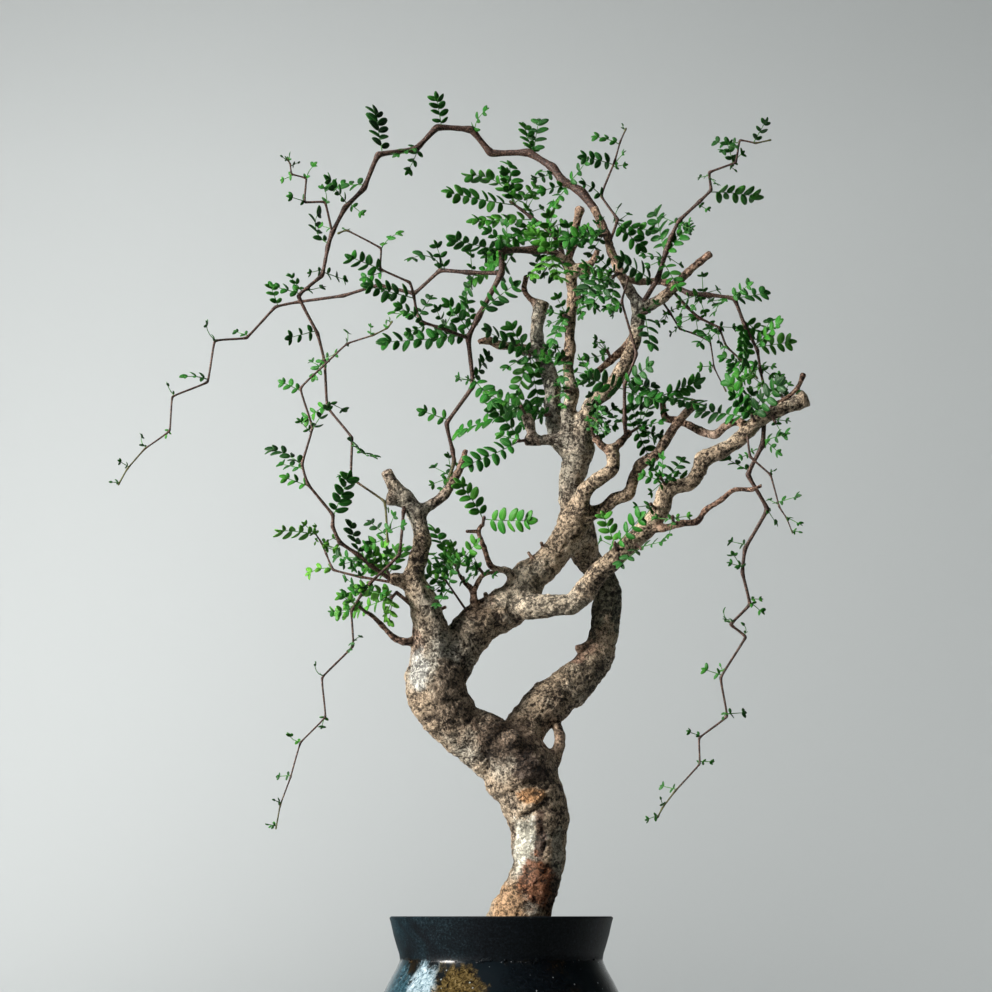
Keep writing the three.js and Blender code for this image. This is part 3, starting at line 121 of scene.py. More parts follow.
# Wood: points on the middle of each limb, as (right, back, above the rim, radius)
LIMBS = {
    "trunk": [
        (0, 2, -59, 9.8), (4, 1, -33, 16.8), (8, 0, -14, 20.3), (13, 0, 0, 20.3), (19, 0, 15, 18.5),
        (25, 0, 32, 17.8), (26, 0, 49, 18.9), (26, 0, 68, 21.7), (21, 2, 84, 23.8), (13, 3, 101, 26.6),
        (4, 3, 117, 22.4)],
    "low_limb": [
        (9, 2, 107, 22.4), (-14, -3, 123, 19.9), (-27, -6, 130, 17.5), (-37, -8, 141, 18.9),
        (-44, -9, 152, 19.9), (-46, -10, 168, 20.3), (-48, -12, 182, 15.4), (-49, -15, 197, 12.6),
        (-52, -18, 212, 10.5), (-57, -20, 224, 9.4), (-61, -22, 235, 7.3), (-58, -23, 248, 6.3),
        (-55, -24, 260, 6.3), (-57, -25, 273, 5.6), (-59, -25, 284, 6.3)],
    "slant_limb": [
        (-43, -8, 163, 18.2), (-37, -6, 176, 16.8), (-27, -3, 190, 14.3), (-16, 0, 204, 14.3),
        (3, 2, 215, 14), (15, 4, 227, 12.6), (18, 5, 236, 11.9), (31, 6, 246, 10.5), (45, 6, 263, 10.5),
        (52, 5, 279, 11.2), (50, 4, 291, 9.1), (49, 3, 305, 8.4), (52, 2, 315, 9.8), (54, 1, 327, 11.2),
        (51, 0, 336, 8.4)],
    "loop_limb": [
        (6, 6, 112, 21), (20, 12, 136, 14), (33, 16, 149, 15.4), (51, 22, 163, 14), (65, 27, 179, 12.2),
        (72, 31, 198, 9.8), (74, 33, 215, 9.8), (75, 34, 228, 9.1), (72, 33, 239, 7.7),
        (62, 26, 249, 9.1), (58, 20, 257, 10.5), (55, 13, 271, 10.5), (52, 8, 283, 8.4)],
    "loop_stub": [(71, 28, 194, 4.9), (61, 22, 190, 3.1), (53, 18, 187, 2.8)],
    "ear": [
        (27, 4, 101, 6.3), (36, 2, 107, 4.5), (40, 2, 117, 3.8), (41, 5, 126, 3.5), (37, 12, 139, 4.2)],
    "low_knob": [(9, -14, 120, 7), (7, -23, 125, 5.6)],
    "left_stump": [
        (-59, -25, 280, 6.3), (-67, -27, 291, 5.6), (-74, -29, 298, 4.5), (-80, -31, 309, 3.8)],
    "left_knob": [(-69, -27, 289, 4.9), (-79, -30, 290, 4.2)],
    "left_fork": [
        (-57, -25, 281, 5.6), (-48, -22, 287, 3.5), (-40, -20, 293, 3.5), (-33, -19, 304, 3.1),
        (-27, -18, 316, 2.8), (-25, -18, 325, 1.8)],
    "red_knob": [(-62, -21, 230, 5.6), (-72, -26, 234, 4.5), (-77, -28, 234, 3.5)],
    "upright_stub": [(-50, -17, 210, 2.1), (-39, -19, 215, 1.1)],
    "side_limb": [
        (9, 0, 215, 9.8), (20, -8, 216, 9.1), (31, -11, 216, 7.7), (41, -13, 217, 7.3),
        (50, -14, 218, 7), (59, -15, 227, 7.7), (67, -16, 238, 7), (77, -17, 247, 7),
        (88, -18, 258, 6.6), (100, -19, 269, 6.6), (111, -20, 283, 6.3), (116, -21, 297, 6.3),
        (131, -23, 301, 4.9), (138, -24, 310, 5.2), (141, -25, 318, 5.6), (154, -26, 324, 5.2),
        (165, -27, 331, 5.2), (172, -28, 338, 5.2), (180, -29, 345, 4.9), (194, -31, 352, 4.5),
        (206, -32, 357, 4.9), (212, -33, 360, 5.6)],
    "right_low_twig": [
        (102, -19, 270, 4.2), (114, -25, 270, 2.8), (125, -28, 273, 2.7), (136, -31, 274, 2.4),
        (142, -33, 282, 2.2), (153, -34, 289, 2.1), (162, -35, 296, 1.8), (174, -36, 296, 1.7),
        (181, -37, 299, 1.5)],
    "right_mid_limb": [
        (172, -28, 339, 3.5), (166, -24, 344, 2.9), (157, -18, 342, 2.9), (149, -12, 336, 3.1),
        (139, -6, 339, 2.8), (132, -2, 343, 2.7), (122, 2, 347, 2.7), (115, 4, 349, 2.7),
        (113, 4, 360, 2.2)],
    "outer_limb": [
        (52, 2, 280, 7.7), (61, -2, 281, 5.6), (71, -4, 284, 4.2), (79, -6, 291, 4.2),
        (89, -8, 295, 4.2), (92, -9, 304, 3.8), (97, -10, 315, 3.8), (107, -11, 321, 3.5),
        (113, -12, 329, 3.5), (123, -14, 344, 3.1), (136, -16, 358, 3.4)],
    "inner_limb": [
        (51, 0, 281, 7.7), (56, -7, 285, 5.6), (58, -12, 296, 5.2), (67, -16, 304, 4.9),
        (77, -18, 311, 4.5), (78, -18, 320, 4.5), (77, -18, 328, 4.2)],
    "inner_arm": [(77, -18, 323, 3.5), (71, -19, 327, 2.8), (65, -20, 334, 2.8)],
    "outer_arm": [(77, -18, 325, 3.5), (83, -17, 330, 2.9), (90, -16, 338, 2.5)],
    "short_stub": [
        (49, 0, 329, 6.3), (41, -3, 332, 4.5), (35, -4, 333, 3.8), (24, -7, 332, 3.5), (17, -9, 332, 3.5)],
    "short_upright": [(27, -6, 332, 3.5), (22, -8, 335, 3.5), (20, -9, 343, 3.8), (17, -10, 350, 3.5)],
    "pale_upright": [
        (50, 2, 327, 9.1), (43, 5, 333, 8.4), (38, 8, 344, 6.3), (36, 10, 358, 5.9), (36, 11, 372, 5.9),
        (32, 12, 384, 5.9), (27, 13, 397, 5.2), (25, 14, 407, 4.5), (26, 15, 420, 4.5),
        (28, 16, 431, 5.6)],
    "pale_twig": [(25, 16, 430, 3.5), (20, 15, 434, 2.1), (16, 14, 440, 2.1), (18, 13, 450, 2)],
    "pale_branch": [
        (28, 13, 395, 4.2), (17, 9, 397, 3.5), (10, 7, 399, 3.1), (-1, 4, 400, 3.1), (-9, 2, 403, 2.8),
        (-16, 0, 402, 2)],
    "middle_upright": [
        (51, -2, 331, 7.7), (48, -4, 341, 6.3), (47, -5, 353, 5.2), (50, -6, 365, 4.5),
        (47, -6, 381, 3.8), (48, -6, 397, 3.8), (48, -6, 414, 3.8), (50, -6, 430, 3.8),
        (49, -5, 444, 3.8), (47, -4, 456, 4.2), (40, -3, 462, 3.1), (35, -2, 466, 2.8)],
    "crown_knob": [(49, -5, 451, 3.5), (55, -9, 452, 4.5), (61, -12, 452, 5.6)],
    "crown_knob_twig": [(61, -12, 454, 2.8), (65, -14, 459, 2.1), (67, -15, 464, 1.7)],
    "crown_stub": [(47, -5, 456, 2.8), (49, -8, 472, 2.4), (52, -9, 482, 2.8), (55, -10, 494, 3.1)],
    "arch_limb": [
        (54, -3, 330, 8.4), (57, -6, 338, 7), (59, -9, 348, 5.9), (63, -12, 357, 5.2),
        (72, -14, 365, 4.9), (78, -15, 371, 4.9), (84, -16, 381, 4.9), (89, -17, 390, 4.5),
        (93, -18, 401, 4.5), (95, -19, 414, 4.5), (96, -20, 425, 4.9), (90, -19, 436, 3.8),
        (83, -18, 449, 3.5), (77, -17, 463, 3.1), (74, -15, 475, 2.9), (70, -13, 484, 3.1),
        (65, -10, 495, 3.1)],
    "arch_side": [
        (93, -16, 406, 3.5), (88, -10, 399, 2.9), (82, -8, 393, 2.8), (76, -7, 388, 2.8),
        (68, -6, 381, 2.5)],
    "arch_fork": [
        (96, -20, 423, 4.9), (104, -23, 426, 4.2), (113, -26, 431, 3.8), (121, -29, 439, 3.5),
        (130, -31, 448, 2.9), (138, -32, 455, 2.7), (146, -33, 461, 2.5)],
    "arch_bridge": [
        (88, -19, 444, 2.8), (97, -15, 443, 2.4), (107, -15, 443, 2.4), (115, -19, 442, 2.4),
        (121, -28, 437, 2.8)],
    "tip_twig": [
        (186, -30, 348, 2.5), (190, -31, 355, 2), (197, -32, 359, 1.7), (206, -33, 367, 1.5),
        (210, -34, 376, 2)],
    "low_left_twig": [
        (-57, -13, 188, 4.2), (-63, -18, 191, 3.1), (-68, -20, 191, 2.8), (-75, -22, 194, 2.4),
        (-83, -24, 202, 2), (-90, -26, 209, 1.6), (-94, -27, 211, 1.5)],
    "thin_left_twig": [(-55, -18, 212, 2.4), (-64, -22, 218, 1.6), (-73, -25, 225, 1.3)],
    "arm_twig": [
        (10, 1, 235, 5.6), (4, -6, 241, 2.8), (-3, -10, 242, 2.2), (-8, -12, 245, 2.2),
        (-12, -14, 257, 2), (-16, -16, 268, 2), (-13, -16, 273, 1.5)],
    "arm_twig_stub": [(-16, -16, 268, 1.5), (-24, -17, 268, 1.1)],
    "wye": [
        (-17, -3, 214, 4.2), (-19, -8, 220, 2.9), (-20, -11, 227, 2.5), (-25, -12, 232, 1.8),
        (-30, -13, 239, 1.5)],
    "wye_arm": [(-20, -10, 225, 2.2), (-16, -14, 233, 1.8), (-12, -16, 238, 1.5), (-2, -18, 240, 1.1)],
    "bark_stub_one": [(33, 4, 248, 2.8), (28, 2, 261, 1.1)],
    "bark_stub_two": [(27, 3, 242, 2.8), (19, 0, 254, 1)],
    "bark_stub_three": [(-10, 0, 208, 2.8), (-11, -6, 225, 1.4)],
}

# Leafy shoots: name, radius at the foot and tip, the twig's middle, and its leaves as (point,
# angle seen from the front, length, bend)
SHOOTS = [
    ("shoot_arch", 3.1, 0.9, [
        (65, -10, 495), (56, -6, 507), (43, -2, 515), (36, 2, 525), (19, 8, 536), (-7, 10, 536),
        (-21, 8, 552), (-45, 2, 553), (-60, -6, 537), (-86, -14, 532), (-96, -20, 508), (-109, -24, 494),
        (-118, -27, 476), (-121, -29, 466), (-125, -31, 446), (-141, -35, 431), (-128, -33, 405),
        (-123, -31, 385), (-121, -32, 354), (-104, -38, 332), (-104, -42, 304), (-81, -46, 287),
        (-79, -44, 260)], [
        (2, 50, 22, 20), (2, 230, 21), (3, 150, 13), (3, 190, 18), (4, 81, 29), (6, 60, 18, -70),
        (7, 100, 24), (8, 245, 21, -20), (9, 100, 35), (10, 175, 27), (11, 130, 24), (11, 320, 13),
        (12, 160, 11), (13, 103, 26, -110), (14, 345, 17), (14, 222, 11), (15, 165, 21), (15, 128, 17),
        (15, 25, 14), (16, 200, 21), (17, 25, 11), (17, 262, 18), (18, 215, 21), (18, 330, 14),
        (19, 318, 25, 70), (20, 190, 10), (21, 280, 8), (22, 200, 18), (22, 140, 17), (22, 80, 15),
        (22, 20, 14)]),
    ("shoot_crown_down", 2.8, 1.3, [
        (35, -2, 466), (23, -6, 466), (1, -12, 465), (0, -14, 449), (-16, -16, 418), (-23, -17, 403),
        (-20, -14, 370), (-38, -12, 344), (-34, -9, 325), (-33, -8, 317), (-37, -7, 304)], [
        (1, 100, 21), (1, 140, 22), (1, 250, 21), (1, 290, 20), (2, 170, 41, -15), (2, 140, 24),
        (2, 215, 18), (2, 250, 21), (4, 35, 32, -15), (5, 186, 63, -6), (5, 130, 29), (5, 100, 25),
        (6, 62, 25), (6, 185, 10), (6, 310, 28), (7, 162, 22), (10, 200, 15), (10, 150, 15),
        (10, 310, 14), (10, 90, 13)]),
    ("shoot_far_left", 1.7, 0.6, [
        (0, -14, 449), (-23, -8, 450), (-43, 0, 452), (-61, 8, 437), (-86, 14, 443), (-111, 18, 436),
        (-142, 22, 432), (-159, 20, 428), (-179, 14, 406), (-201, 8, 403), (-206, 2, 374),
        (-230, -4, 363), (-232, -8, 339), (-249, -12, 326), (-261, -14, 312), (-267, -16, 301)], [
        (1, 95, 15), (1, 250, 25), (2, 170, 24, 120), (2, 110, 22), (4, 300, 10), (7, 110, 18),
        (8, 172, 11), (9, 120, 14, -80), (10, 193, 18, 30), (11, 120, 11, -40), (12, 240, 7),
        (13, 110, 10, -90), (14, 150, 8), (15, 180, 7)]),
    ("shoot_centre_left", 1.5, 0.7, [
        (-23, -17, 403), (-42, -32, 409), (-55, -34, 413), (-59, -28, 420), (-61, -30, 432),
        (-64, -31, 441), (-84, -36, 450), (-84, -40, 464), (-107, -44, 476), (-113, -46, 474)], [
        (1, 60, 15), (1, 115, 17), (2, 150, 24), (2, 205, 17), (3, 175, 21), (3, 60, 18), (4, 168, 36),
        (6, 160, 27), (6, 200, 18), (7, 42, 20, -60), (8, 150, 6)]),
    ("shoot_upper_left", 1.1, 0.6, [
        (-118, -27, 476), (-123, -31, 497), (-137, -34, 497), (-136, -37, 513), (-146, -39, 516),
        (-147, -40, 523), (-149, -41, 526)], [
        (1, 100, 13, 60), (2, 165, 14), (3, 60, 14, -50), (4, 202, 10), (5, 30, 7), (6, 150, 6),
        (6, 80, 6)]),
    ("shoot_left_climber", 1.7, 0.6, [
        (-76, -28, 233), (-90, -34, 243), (-100, -38, 251), (-112, -42, 259), (-117, -45, 270),
        (-117, -46, 278), (-134, -50, 299), (-138, -52, 313), (-131, -54, 338), (-139, -56, 365),
        (-123, -56, 381), (-107, -56, 396), (-89, -56, 402), (-79, -56, 407), (-76, -57, 411)], [
        (1, 100, 21), (1, 168, 18), (2, 108, 27), (2, 175, 20), (2, 195, 17), (5, 68, 34), (6, 160, 21),
        (7, 153, 28, 40), (7, 165, 18), (8, 55, 21), (8, 125, 13), (9, 155, 17), (10, 150, 10),
        (11, 85, 11, 50), (12, 90, 8), (13, 70, 6), (14, 100, 5)]),
    ("shoot_low_left", 1.3, 0.6, [
        (-69, -22, 231), (-98, -22, 236), (-117, -20, 241), (-122, -18, 252), (-126, -17, 261),
        (-130, -16, 267)], [
        (2, 190, 21, 70), (4, 25, 11), (4, 340, 13), (5, 176, 27, 10), (5, 100, 8), (5, 250, 6)]),
    ("shoot_left_hanging", 1.5, 0.6, [
        (-67, -27, 289), (-68, -31, 281), (-71, -35, 251), (-91, -38, 231), (-97, -39, 223),
        (-104, -40, 211), (-103, -42, 187), (-124, -44, 165), (-122, -44, 138), (-139, -44, 120),
        (-146, -43, 96), (-153, -42, 77), (-156, -41, 61)], [
        (4, 140, 18), (4, 105, 13), (4, 345, 15), (4, 195, 17), (5, 185, 17), (6, 40, 8, -60),
        (6, 240, 8), (7, 120, 11, -110), (8, 250, 10), (9, 150, 11, -90), (10, 185, 10), (11, 160, 6),
        (12, 170, 7), (12, 205, 6)]),
    ("shoot_right_hanging", 1.8, 0.6, [
        (183, -29, 345), (182, -27, 328), (172, -26, 307), (185, -25, 283), (170, -23, 256),
        (168, -22, 239), (173, -20, 217), (160, -19, 203), (170, -18, 194), (153, -17, 166),
        (157, -16, 139), (138, -15, 124), (138, -14, 106), (121, -13, 87), (112, -13, 75), (109, -12, 69)], [
        (1, 12, 18), (1, 316, 17), (2, 150, 21), (3, 303, 15), (4, 165, 13), (5, 125, 14), (5, 165, 11),
        (6, 320, 13), (6, 0, 10), (7, 120, 11, -110), (7, 175, 8), (8, 100, 8, 130), (9, 162, 15),
        (9, 110, 7), (10, 5, 14), (10, 232, 6), (11, 160, 11), (12, 0, 10), (12, 240, 7), (13, 165, 11),
        (14, 110, 7), (15, 200, 10)]),
    ("shoot_right_thin", 1.1, 0.5, [
        (171, -30, 337), (173, -37, 319), (187, -38, 306), (193, -39, 284), (198, -40, 276),
        (202, -40, 266)], [
        (1, 200, 8), (1, 20, 6), (2, 30, 6), (3, 150, 8), (3, 15, 15), (4, 330, 13), (5, 350, 7)]),
    ("shoot_top", 1.4, 0.6, [
        (76, -16, 471), (81, -22, 486), (70, -18, 503), (79, -22, 526), (83, -24, 540), (87, -25, 549)], [
        (1, 348, 28, 15), (1, 75, 15, -60), (2, 150, 18, 40), (3, 172, 24, 15), (3, 8, 10),
        (4, 165, 20, 30), (5, 110, 6)]),
    ("shoot_up_right", 2.1, 0.6, [
        (98, -22, 426), (109, -28, 444), (115, -30, 463), (118, -31, 472), (124, -33, 484),
        (138, -36, 497), (146, -38, 505), (145, -40, 517), (163, -42, 524), (166, -44, 539),
        (177, -45, 537), (187, -46, 539)], [
        (1, 152, 31), (2, 92, 36), (2, 180, 17), (2, 205, 14), (2, 298, 24), (3, 38, 18), (4, 150, 13),
        (4, 20, 11), (5, 330, 10), (6, 355, 36, -15), (7, 190, 8), (7, 310, 8), (8, 100, 17),
        (8, 45, 13), (8, 320, 7), (9, 175, 18), (9, 205, 15), (10, 60, 18)]),
    ("shoot_right_zigzag", 2, 1, [
        (122, -29, 438), (131, -34, 433), (143, -36, 432), (162, -37, 429), (169, -38, 411),
        (178, -39, 393), (180, -40, 379), (183, -40, 366)], [
        (2, 95, 14), (2, 15, 14), (2, 180, 18), (2, 290, 15), (3, 12, 27, 10), (3, 234, 17, 60),
        (4, 268, 32), (4, 300, 25), (5, 10, 27), (5, 60, 24, 20), (6, 180, 22), (6, 350, 11),
        (6, 205, 20), (7, 190, 11)]),
    ("shoot_right_inner", 1.4, 0.8, [
        (119, -28, 436), (129, -24, 425), (138, -22, 417), (152, -22, 410), (157, -22, 397),
        (171, -23, 384), (178, -24, 375)], [
        (1, 250, 13), (2, 205, 15), (2, 280, 14), (3, 0, 14), (3, 232, 20), (4, 258, 11), (5, 155, 18),
        (6, 200, 20)]),
    ("shoot_right_slim", 1, 0.6, [
        (111, -25, 430), (118, -16, 421), (125, -13, 410), (134, -12, 407), (146, -10, 401),
        (149, -9, 383), (157, -8, 367)], [
        (1, 20, 8), (1, 255, 10), (2, 220, 8), (2, 340, 7), (4, 45, 11), (5, 185, 11), (5, 250, 6)]),
    ("shoot_pale_riser", 1.7, 0.7, [
        (87, -17, 334), (86, -25, 345), (86, -29, 370), (94, -32, 391), (84, -34, 427), (88, -34, 443),
        (76, -34, 463)], [
        (1, 150, 17), (2, 40, 24, -10), (2, 165, 31), (2, 345, 27), (4, 195, 15, 25)]),
    ("shoot_crown_left", 2.1, 1, [
        (44, -4, 459), (40, 0, 473), (31, 4, 483), (21, 6, 490), (15, 7, 495), (7, 8, 501)], [
        (1, 25, 20), (2, 70, 21), (3, 183, 46), (4, 60, 15), (4, 25, 13), (5, 95, 34), (5, 172, 50, -8),
        (5, 150, 42, 80)]),
]

# Sprays: short leafy spurs, as the foot and the knob at their end, then the leaves on that knob
SPRAYS = {
    "spray_stub_end": ((17, -9, 332), (12, -20, 331), (206, 43, -10), (133, 35, 20), (165, 18)),
    "spray_stub_top": ((17, -10, 350), (14, -20, 355), (197, 49), (155, 29), (180, 22), (110, 14)),
    "spray_pale_middle": ((18, 9, 396), (20, -2, 392), (252, 35), (155, 35), (215, 21), (350, 24)),
    "spray_pale_low": ((36, 10, 352), (31, -4, 350), (168, 32, 20), (200, 20), (130, 14)),
    "spray_middle_high": ((49, -6, 418), (44, -17, 419), (245, 24), (205, 15), (120, 17)),
    "spray_middle_right": ((50, -6, 431), (55, -17, 432), (20, 18), (330, 17), (75, 15)),
    "spray_middle_low": ((48, -6, 391), (43, -16, 388), (170, 18), (150, 17), (262, 18)),
    "spray_middle_foot": ((49, -6, 366), (45, -17, 366), (200, 14), (150, 10)),
    "spray_arch_foot": ((61, -10, 350), (67, -19, 345), (35, 18), (340, 17), (290, 15), (100, 17)),
    "spray_arch_side": ((68, -6, 381), (63, -16, 376), (125, 17), (165, 15), (215, 14)),
    "spray_arch_side_knob": ((77, -7, 389), (74, -17, 394), (120, 10), (190, 17)),
    "spray_inner_arm": ((65, -20, 333), (63, -30, 339), (60, 17), (20, 11), (110, 11)),
    "spray_outer_arm": ((90, -16, 337), (97, -6, 342), (62, 24), (15, 20), (295, 24), (120, 17)),
    "spray_mid_limb": ((113, 4, 359), (111, -7, 365), (150, 22), (22, 32), (195, 25), (340, 17)),
    "spray_side_one": ((81, -17, 251), (79, -31, 259), (112, 25), (48, 28), (150, 13)),
    "spray_side_two": ((93, -19, 260), (97, -34, 255), (222, 21), (12, 18)),
    "spray_side_three": ((109, -20, 282), (104, -34, 286), (190, 13), (235, 14)),
    "spray_side_four": ((116, -21, 298), (111, -34, 304), (88, 18), (165, 17), (222, 14), (52, 24)),
    "spray_low_twig": ((120, -27, 272), (119, -38, 277), (8, 13), (175, 14), (275, 13)),
    "spray_tip_big": ((177, -29, 343), (174, -43, 347), (50, 31), (168, 38), (135, 24), (95, 22)),
    "spray_tip_twig": ((197, -32, 359), (195, -21, 363), (12, 14), (150, 18)),
    "spray_tip_under": ((188, -30, 350), (190, -41, 343), (298, 13), (352, 11)),
    "spray_slant_thin": ((-23, -8, 211), (-39, -20, 234), (214, 21), (159, 17), (81, 20), (237, 18)),
    "spray_wye_left": ((-30, -13, 239), (-32, -23, 245), (122, 34), (152, 22), (50, 24), (190, 17)),
    "spray_wye_right": ((-12, -16, 238), (-15, -27, 241), (142, 20), (165, 18), (330, 11)),
    "spray_arm_end": ((-13, -16, 272), (-12, -27, 277), (357, 35, 8), (125, 34, 20)),
    "spray_red_knob": ((-76, -28, 234), (-80, -19, 241), (130, 24), (95, 22), (55, 24), (165, 18)),
    "spray_thin_left": ((-73, -25, 225), (-76, -36, 221), (262, 20), (200, 28), (168, 28)),
    "spray_low_left": ((-94, -27, 211), (-98, -38, 214), (125, 13), (190, 20)),
    "spray_crown_front": ((39, -3, 463), (33, -15, 463), (93, 29), (130, 24), (235, 24), (310, 21)),
    "spray_crown_right": ((74, -15, 476), (69, -26, 474), (185, 29), (150, 15), (232, 17)),
    "spray_arch_middle": ((83, -18, 450), (78, -28, 445), (168, 24), (212, 31), (140, 17)),
    "spray_arch_right": ((95, -19, 419), (101, -29, 420), (278, 27), (40, 13)),
    "spray_crown_middle": ((49, -6, 461), (52, -15, 468), (44, 18), (109, 20), (169, 14)),
}

# Shoots whose leaves are paler, partly as painted light where they are lit from behind and partly as young
# leaves, and how much paler they are
PALE_SHOOTS = {
    "shoot_low_left": 0.5, "spray_thin_left": 0.45, "spray_crown_front": 0.25, "spray_wye_left": 0.25,
    "shoot_crown_left": 0.15, "spray_arm_end": 0.15, "spray_red_knob": 0.25, "spray_side_one": 0.15,
    "spray_low_twig": 0.15, "shoot_right_zigzag": 0.08, "spray_low_left": 0.3,
}

# Shoots so leafy that the scene adds leaves to them, and how many
SISTER_LEAVES = {
    "spray_outer_arm": 5, "spray_middle_foot": 3, "spray_arch_middle": 4, "spray_arch_side": 4,
    "spray_middle_high": 4, "spray_arch_foot": 4, "shoot_right_zigzag": 9, "shoot_right_slim": 2,
    "spray_slant_thin": 4, "spray_inner_arm": 3, "shoot_right_inner": 4, "shoot_top": 3,
    "spray_side_four": 3, "spray_red_knob": 5, "shoot_up_right": 3, "spray_low_left": 3,
    "spray_middle_right": 3, "shoot_crown_down": 9, "shoot_arch": 3, "spray_arch_side_knob": 2,
    "spray_middle_low": 3, "spray_pale_middle": 3, "spray_wye_left": 4, "spray_tip_twig": 2,
    "shoot_low_left": 3, "spray_thin_left": 3, "spray_wye_right": 3, "spray_crown_right": 4,
    "shoot_crown_left": 5, "spray_tip_big": 3, "spray_mid_limb": 3, "spray_crown_front": 4,
    "spray_crown_middle": 4, "shoot_pale_riser": 2, "shoot_left_climber": 2, "spray_pale_low": 1,
}

# Patches on the glaze: middle, reach, kind
GLAZE_PATCHES = [
    ((-0.078, -0.046, 0.125), (0.016, 0.050, 0.034), "blue"),
    # The ice patches on the front left are pale glaze, partly painted highlight of the light from the left
    ((-0.056, -0.072, 0.124), (0.012, 0.030, 0.024), "ice_and_highlight"),
    ((-0.032, -0.085, 0.120), (0.021, 0.030, 0.022), "gold"),
    ((0.030, -0.085, 0.125), (0.032, 0.030, 0.026), "dark"),
    ((-0.060, -0.050, 0.1675), (0.026, 0.040, 0.0034), "ice_and_highlight"),
    ((0.050, 0.070, 0.110), (0.030, 0.040, 0.030), "gold"),
    ((-0.040, 0.080, 0.090), (0.030, 0.040, 0.026), "blue"),
    ((0.085, 0.020, 0.080), (0.030, 0.030, 0.030), "gold"),
    ((-0.020, -0.080, 0.060), (0.030, 0.030, 0.022), "blue"),
]

# Patches on the bark: middle (right, back, above the rim), reach, colour
BARK_PATCHES = {
    "pale skin": ((16, -20, 47), (15, 18, 24), (0.88, 0.84, 0.68)),
    "pale edge": ((39, -12, 38), (5, 14, 26), (0.42, 0.37, 0.28)),
    "brown streak": ((27, -22, 52), (4.5, 14, 24), (0.085, 0.036, 0.018)),
    "tan foot": ((4, -16, 10), (15, 26, 17), (0.44, 0.265, 0.135)),
    # Painted shade on the right of the trunk's foot, the side away from the light
    "painted foot shade": ((35, -14, 12), (8, 22, 24), (0.1, 0.055, 0.03)),
    "rust foot": ((24, -20, 24), (13, 20, 20), (0.27, 0.095, 0.032)),
    "rust shoulder": ((22, -22, 84), (10, 12, 6), (0.42, 0.21, 0.08)),
    "brown bend": ((-30, -26, 152), (20, 26, 28), (0.29, 0.21, 0.14)),
    # Brown bark at the fork, darkened with painted shade on its side away from the light
    "brown fork with painted shade": ((8, -28, 130), (32, 28, 28), (0.17, 0.112, 0.07)),
    "brown arm": ((62, -8, 172), (24, 28, 44), (0.28, 0.215, 0.14)),
    # Painted shade where the limbs part from the trunk
    "painted crotch shade": ((24, -30, 104), (20, 24, 15), (0.065, 0.038, 0.024)),
    "pale slant": ((22, -20, 228), (36, 28, 24), (0.56, 0.47, 0.35)),
    "white patch": ((-58, -28, 172), (8, 12, 16), (0.62, 0.6, 0.54)),
    "pale limb": ((28, 4, 370), (14, 14, 60), (0.48, 0.45, 0.37)),
    "pale fork": ((54, 0, 318), (14, 14, 16), (0.4, 0.35, 0.27)),
    "loop shade": ((72, 32, 222), (16, 14, 36), (0.2, 0.19, 0.13)),
}


class BonsaiPotSize(bpy.types.PropertyGroup):
    rim_radius: bpy.props.FloatProperty(
        name="Rim radius", description="Outside radius of the pot's rim", default=0.078, unit="LENGTH")
    neck_radius: bpy.props.FloatProperty(
        name="Neck radius", description="Radius where collar and belly meet", default=0.0707, unit="LENGTH")
    belly_radius: bpy.props.FloatProperty(
        name="Belly radius", description="Widest radius of the pot", default=0.0995, unit="LENGTH")
    foot_radius: bpy.props.FloatProperty(
        name="Foot radius", description="Radius of the pot's foot", default=0.064, unit="LENGTH")
    collar_height: bpy.props.FloatProperty(
        name="Collar height", description="Height of the flared collar", default=0.030, unit="LENGTH")
    wall: bpy.props.FloatProperty(
        name="Wall", description="Thickness of the pot's wall", default=0.006, unit="LENGTH")
    glaze: bpy.props.FloatVectorProperty(
        name="Glaze", description="Main colour of the glaze", default=(0.006, 0.010, 0.013),
        subtype="COLOR", min=0, max=1)


class BonsaiBarkLook(bpy.types.PropertyGroup):
    voxel: bpy.props.FloatProperty(
        name="Bark cell", description="Size of the cells that fuse the limbs", default=0.0013,
        unit="LENGTH", precision=4)
    relief: bpy.props.FloatProperty(
        name="Relief", description="Strength of the bark's lumps", default=1.0)
    light: bpy.props.FloatVectorProperty(
        name="Light bark", description="Colour of the raised bark", default=(0.44, 0.33, 0.22),
        subtype="COLOR", min=0, max=1)
    dark: bpy.props.FloatVectorProperty(
        name="Dark bark", description="Colour of the cracks", default=(0.030, 0.019, 0.012),
        subtype="COLOR", min=0, max=1)


class BonsaiLeafLook(bpy.types.PropertyGroup):
    deep: bpy.props.FloatVectorProperty(
        name="Deep green", description="Colour of a leaflet in shade", default=(0.006, 0.040, 0.011),
        subtype="COLOR", min=0, max=1)
    # Bright green is also the painted light of leaves lit from behind
    bright: bpy.props.FloatVectorProperty(
        name="Bright green", description="Colour of a young leaflet", default=(0.13, 0.42, 0.035),
        subtype="COLOR", min=0, max=1)
    thickness: bpy.props.FloatProperty(
        name="Leaflet thickness", description="Thickness of a leaflet for each unit of its length",
        default=0.05)


class BonsaiStageLook(bpy.types.PropertyGroup):
    wall: bpy.props.FloatVectorProperty(
        name="Backdrop", description="Colour of the floor and backdrop", default=(0.62, 0.65, 0.65),
        subtype="COLOR", min=0, max=1)
    distance: bpy.props.FloatProperty(
        name="Camera distance", description="From the tree to the camera", default=5.0, unit="LENGTH")


# Common steps
def clear_selection():
    if bpy.context.object and bpy.context.object.mode != "OBJECT":
        bpy.ops.object.mode_set(mode="OBJECT")
    bpy.ops.object.select_all(action="DESELECT")


